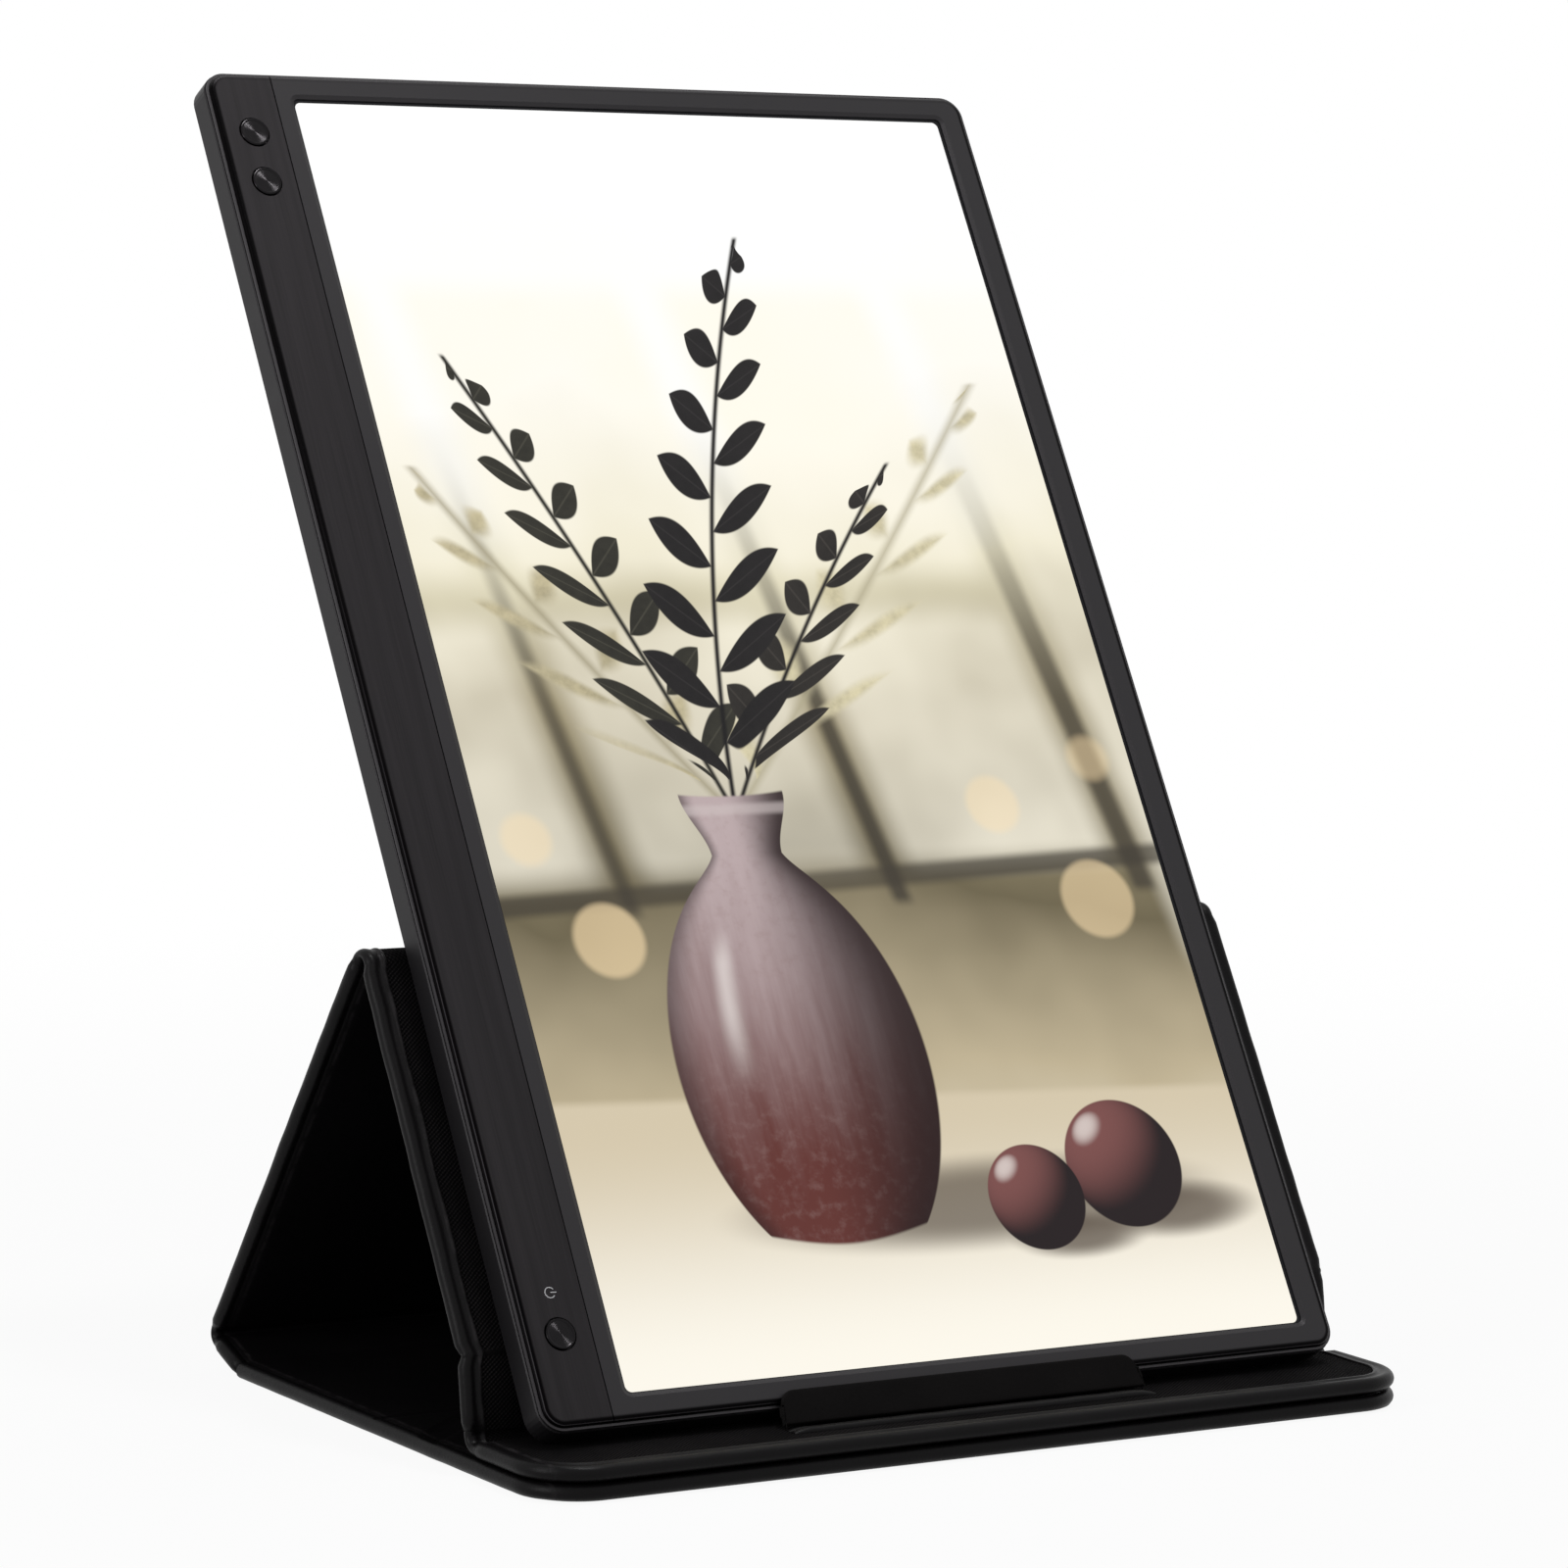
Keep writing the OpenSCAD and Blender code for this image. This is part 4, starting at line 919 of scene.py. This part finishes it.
# the bend is thinner than the panels; its closed side draws towards its open side
def shapeFold(bm, centre, turn, ringRound, amount):
    for vert in bm.verts:
        arm = Vector((0, vert.co.y - centre.y, vert.co.z - centre.z))
        share = min(max(turn(arm), 0), 1)
        slim = endPinch["start"] + (amount - endPinch["start"]) * math.sin(math.pi * share)
        reach = ringRound - (ringRound - arm.length) * (1 - slim)
        if arm.length > 1e-7:
            arm = arm * (max(reach, ringRound - thick) / arm.length)
        vert.co = Vector((vert.co.x * (1 - endPinch["drawIn"]), centre.y + arm.y, centre.z + arm.z))


# spins the end of a panel round the fold's pivot, leather and lining alike
def foldPieces(name, source, atEnd, centre, angle, ringRound, amount):
    space = spaces[source]
    y = lengths[source] if atEnd else 0
    steps = max(6, round(abs(math.degrees(angle)) / meshSteps["foldDegrees"]))
    startArm = (space @ Vector((0, y, thick / 2))) - centre
    startAngle = math.atan2(startArm.z, startArm.y)

    def turned(arm):
        found = (math.atan2(arm.z, arm.y) - startAngle) / angle
        whole = 2 * math.pi / abs(angle)
        while found < -0.25:
            found += whole
        while found > whole - 0.25:
            found -= whole
        return found

    def cloth(co):
        return (co.x, coverRun[name] + turned(co - Vector((co.x, centre.y, centre.z))) * foldCloth, 0)

    def bend(section, part, look, cloth=None):
        bm = bmesh.new()
        ring = section(bm, y)
        if look == "leather":
            rippleEdges(bm, space)
        bmesh.ops.transform(bm, matrix=space, verts=bm.verts)
        first = list(ring)
        closeEnds(bm, first, turnRound(bm, ring, centre, (1, 0, 0), angle, steps))
        shapeFold(bm, centre, turned, ringRound, amount)
        return makePiece(bm, name + part, look, cloth=cloth)

    return bend(fullSection, "Leather", "leather"), bend(liningSection, "Lining", "twill", cloth)


creases = {
    "crossAt": 84 * mm, "crossDepth": 0.3 * mm, "crossWidth": 2.2 * mm,
    "slantFrom": 57 * mm, "angle": 40.0, "wide": 7.4 * mm, "depth": 0.34 * mm,
    "before": 5 * mm, "reach": 58 * mm, "fade": 20 * mm,     # along a slanting line
    "cuts": (-0.62, -0.5, -0.34, -0.1, 0.1, 0.34, 0.5, 0.62),  # in widths, as are the next two
    "deepTo": 0.42, "shallowTo": 0.56, "shallow": 0.02 * mm,
}


# pressed lines in the floor's leather: one across, two slanting in from the sides
def creaseFloor(bm):
    top = thick - 0.05 * mm
    ahead, right = Vector((0, 1, 0)), Vector((1, 0, 0))
    lines = [(Vector((0, creases["crossAt"], 0)), ahead, right, creases["crossWidth"], True)]
    slant = math.radians(creases["angle"])
    for sign in (-1, 1):
        start = Vector((sign * half, creases["slantFrom"], 0))
        heading = Vector((-sign * math.cos(slant), math.sin(slant), 0))
        lines.append((start, Vector((-heading.y, heading.x, 0)), heading, creases["wide"], False))
    for start, normal, heading, width, whole in lines:
        for share in creases["cuts"]:
            bmesh.ops.bisect_plane(bm, geom=bm.verts[:] + bm.edges[:] + bm.faces[:], dist=1e-7,
                                   plane_co=start + normal * width * share, plane_no=normal)
    for start, normal, heading, width, whole in lines:
        depth = creases["crossDepth"] if whole else creases["depth"]
        for vert in bm.verts:
            across = abs((vert.co - start).dot(normal)) / width
            onward = (vert.co - start).dot(heading)
            if vert.co.z < top or not (whole or -creases["before"] < onward < creases["reach"]):
                continue
            fade = 1 if whole else min(1, (creases["reach"] - onward) / creases["fade"])
            if across < creases["deepTo"]:
                vert.co.z -= depth * fade
            elif across < creases["shallowTo"]:
                vert.co.z -= creases["shallow"]
    bmesh.ops.triangulate(bm, faces=[f for f in bm.faces if len(f.verts) > 4])


def dress(piece, body, node):
    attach(piece, body)
    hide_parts(node)


def dressPanel(leather, lining, body, nodes):
    dress(leather, body, nodes[0])
    dress(lining, body, nodes[1])


bodyOf = {"rear": "rear_panel", "front": "front_panel"}


# source and target each say which panel, and whether the fold is at the far end of its length
def dressFold(name, source, target, centre, angle, ringRound, amount=0.36):
    start, end = [spaces[panel] @ Vector((0, lengths[panel] if far else 0, thick / 2))
                  for panel, far in (source, target)]
    pieces = foldPieces(name, *source, centre, angle, ringRound, amount)
    for piece, slot in zip(pieces, ("leather_fold", "twill")):
        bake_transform(piece)
        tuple(start)
        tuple(end)
        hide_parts(name.replace("Fold", "_fold"))


for name in ("spine", "rear", "front"):
    pieces = betweenPanel(name, ("leather", "leather"))
    dressPanel(*pieces, bodyOf.get(name, name), (name + "_leather", name + "_lining"))
dressPanel(*betweenPanel("strip", ("lining", "leather")), "strip", ("lower_strip", "lower_strip"))
print("panels between folds are dressed")

floorMesh = frontPanel("floor")
rippleEdges(floorMesh, spaces["floor"], 0.8)
creaseFloor(floorMesh)
floorLeather = makePiece(floorMesh, "floorLeather", "leather", spaces["floor"])
floorLining = makePiece(clothPlan("floor", 0.03 * mm, 0.95 * mm), "floorLining", "twill", spaces["floor"],
                        cloth=clothOf(coverRun["floor"] + lengths["floor"], True))
dressPanel(floorLeather, floorLining, "floor", ("floor_leather", "floor_lining"))
trayMesh = frontPanel("tray")
rippleEdges(trayMesh, spaces["tray"])
pinchEnds(trayMesh, lengths["tray"], None, "lining")
trayLeather = makePiece(trayMesh, "trayLeather", "leather", spaces["tray"])
trayCloth = clothPlan("tray", coverSizes["liningLevel"], coverSizes["recess"])
trayLining = makePiece(trayCloth, "trayLining", "twill", spaces["tray"], cloth=clothOf(coverRun["tray"]))
dressPanel(trayLeather, trayLining, "tray", ("tray_leather", "tray_lining"))
print("floor and tray are dressed")

spineTurn = math.pi - rearRise - spineRise
spineRound, apexRound, trayRound = coverSizes["spineRound"], coverSizes["apexRound"], coverSizes["trayRound"]
apexTurn = rearRise + math.pi / 2 - lean
dressFold("floorFold", ("floor", True), ("spine", False), floorPivot, spineRise, spineRound, 0.2)
dressFold("spineFold", ("spine", True), ("rear", True), rearPivot, spineTurn, spineRound)
dressFold("apexFold", ("rear", False), ("front", True), apexPivot, apexTurn, apexRound)
dressFold("stripFold", ("front", False), ("strip", True), stripPivot, lean - stripLean, thick, 0.3)
dressFold("trayFold", ("strip", False), ("tray", True), trayPivot, stripLean - math.pi / 2, trayRound)
print("folds are dressed")

lipSizes = {"wide": 103 * mm, "taper": 1 * mm, "thick": 1.4 * mm, "cover": 3.6 * mm, "round": 3.6 * mm,
            "bevel": 0.42 * mm}
weltSizes = {"rolls": ((0.0, 1.22 * mm), (2.1 * mm, 0.9 * mm)),  # place behind the first roll, radius
             "pinch": 5 * mm, "flatten": 0.72}


def makeLip():
    lipPivot = pivot("lip_flip")
    height = lipSizes["cover"] - (lipPivot - monitorFoot).dot(monitorUp)
    bm = bmesh.new()
    bmesh.ops.create_grid(bm, x_segments=72, y_segments=8, size=1)
    for vert in bm.verts:
        share = (vert.co.y + 1) / 2
        side = math.sin(vert.co.x * math.pi / 2)
        wide, radius = lipSizes["wide"] / 2 - lipSizes["taper"] * share, lipSizes["round"]
        fromEnd = min((1 - abs(side)) * wide, radius)
        lost = radius - math.sqrt(radius ** 2 - (radius - fromEnd) ** 2)
        vert.co = Vector((side * wide, share * (height - lost), 0))
    thicken(bm, lipSizes["thick"])
    bmesh.ops.translate(bm, vec=(0, 0, -lipSizes["thick"] / 2), verts=bm.verts)
    bmesh.ops.recalc_face_normals(bm, faces=bm.faces)
    sharp = [e for e in bm.edges if len(e.link_faces) == 2 and e.calc_face_angle() > 1
             and abs(e.verts[0].co.z - e.verts[1].co.z) < 1e-7]
    bmesh.ops.bevel(bm, geom=sharp, offset=lipSizes["bevel"], offset_type="OFFSET", segments=3, profile=0.5,
                    affect="EDGES", material=-1)
    for vert in bm.verts:
        vert.co.z += noise.noise(Vector((vert.co.x * 60, vert.co.y * 90, 2))) * 0.08 * mm
    dress(makePiece(bm, "stopLip", "suede", leaningSpace(lipPivot)), "lip", "stop_lip")


# rolled leather sewn along the lip's foot, its ends pinched flat
def makeWelt():
    low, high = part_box("lip_welt")
    middle = Vector((0, (low.y + high.y) / 2, low.z))
    wide = lipSizes["wide"] / 2
    bm = bmesh.new()
    for behind, radius in weltSizes["rolls"]:
        made = bmesh.ops.create_circle(bm, segments=18, radius=radius)["verts"]
        bmesh.ops.rotate(bm, verts=made, cent=(0, 0, 0), matrix=Matrix.Rotation(math.pi / 2, 3, "Y"))
        bmesh.ops.translate(bm, verts=made, vec=(-wide, behind, 0))
        ring = list({edge for vert in made for edge in vert.link_edges})
        closedRun(bm, ring, (2 * wide, 0, 0), 70)
    for vert in bm.verts:
        end = 1 - min(1, (wide - abs(vert.co.x)) / weltSizes["pinch"])
        vert.co.z *= 1 - weltSizes["flatten"] * end * end
        vert.co.z += noise.noise(Vector((vert.co.x * 150, vert.co.y * 80, 5))) * 0.09 * mm
        vert.co.y += noise.noise(Vector((vert.co.x * 60, 3, vert.co.z * 50))) * 0.16 * mm
    dress(makePiece(bm, "lipWelt", "leather", Matrix.Translation(middle)), "tray", "lip_welt")


makeLip()
makeWelt()
print("lip and welt are sewn")

capSizes = {"round": 3.8 * mm, "face": 0.84, "proud": 0.4 * mm, "foot": -1.5 * mm, "dish": 0.06 * mm,
            "rings": 15, "flangeRound": 4.65 * mm, "flangeTop": -1.05 * mm, "flangeThick": 0.4 * mm}
capPlaces = {  # body, height up the monitor in millimetres, slope of the turning marks in degrees
    "power_button": ("power_key", 23.1, 22.5),
    "upper_button": ("upper_key", 342.3, 16.0),
    "lower_button": ("lower_key", 328.2, 16.5),
}


def turnedFinish(name):
    finish = newFinish(name)
    place = finish.place()
    grime = finish.cloud(place, 150.0, 4.0, 0.6)
    fine = finish.cloud(place, 3000.0, 2.0)
    shade = finish.blend(grime, (0.0105, 0.0098, 0.0105), (0.0155, 0.0145, 0.0155))
    return finish.surface(Base_Color=shade, Metallic=0.97, Roughness=0.23 + 0.05 * grime,
                          Specular_IOR_Level=0.3, Normal=finish.bump(fine, 0.000003, 0.2))


def makeButton(node, body, up, slope):
    outer, top, foot = capSizes["round"], capSizes["proud"], capSizes["foot"]
    flange, flangeTop = capSizes["flangeRound"], capSizes["flangeTop"]
    under, neck = flangeTop - capSizes["flangeThick"], outer - 0.5 * mm
    face, floor = outer * capSizes["face"], top - capSizes["dish"]
    profile = [(0, foot), (neck, foot), (neck, under), (flange, under), (flange, flangeTop),
               (outer, flangeTop), (outer, top - 0.22 * mm), (outer - 0.1 * mm, top - 0.05 * mm),
               (outer - 0.3 * mm, top), (face + 0.12 * mm, top)]
    pitch = face / (capSizes["rings"] * 2)
    cut = pitch * math.tan(math.radians(slope))
    for i in range(capSizes["rings"] * 2):
        profile.append((face - i * pitch, floor - cut * (i % 2)))
    profile.append((0, floor))
    bm = bmesh.new()
    verts = [bm.verts.new((r, 0, z)) for r, z in profile]
    edges = [bm.edges.new(pair) for pair in zip(verts, verts[1:])]
    bmesh.ops.spin(bm, geom=edges, cent=(0, 0, 0), axis=(0, 0, 1), angle=2 * math.pi, steps=90,
                   use_merge=True)
    x = (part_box(node)[0].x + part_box(node)[1].x) / 2
    space = monitorSpace @ Matrix.Translation((x, up * mm, 0))
    name = node.split("_")[0]
    piece = makePiece(bm, name + "Cap", turnedFinish(name + "Turned"), space, crease=10)
    dress(piece, body, node)


signSizes = {"round": 1.28 * mm, "line": 0.19 * mm, "x": -103.2 * mm, "up": 33.3 * mm, "gap": 72.0}


# open ring and a short bar, printed flat, lying on its side as the monitor stands
def makePowerSign():
    bm = bmesh.new()
    inner, outer = signSizes["round"] - signSizes["line"] / 2, signSizes["round"] + signSizes["line"] / 2
    gap = math.radians(signSizes["gap"])
    ends = [bm.verts.new((math.cos(gap / 2) * r, math.sin(gap / 2) * r, 0)) for r in (inner, outer)]
    turnRound(bm, [bm.edges.new(ends)], (0, 0, 0), (0, 0, 1), 2 * math.pi - gap, 40)
    bar = bmesh.ops.create_grid(bm, x_segments=2, y_segments=1, size=1)["verts"]
    for vert in bar:
        vert.co.x = signSizes["round"] * 0.72 + vert.co.x * signSizes["round"] * 0.62
        vert.co.y *= signSizes["line"] / 2
    thicken(bm, 0.02 * mm)
    space = monitorSpace @ Matrix.Translation((signSizes["x"], signSizes["up"], 0))
    sign = makePiece(bm, "powerSign", "ink", space, smooth=False)
    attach(sign, "monitor")


for node, place in capPlaces.items():
    makeButton(node, *place)
makePowerSign()
print("buttons are turned")
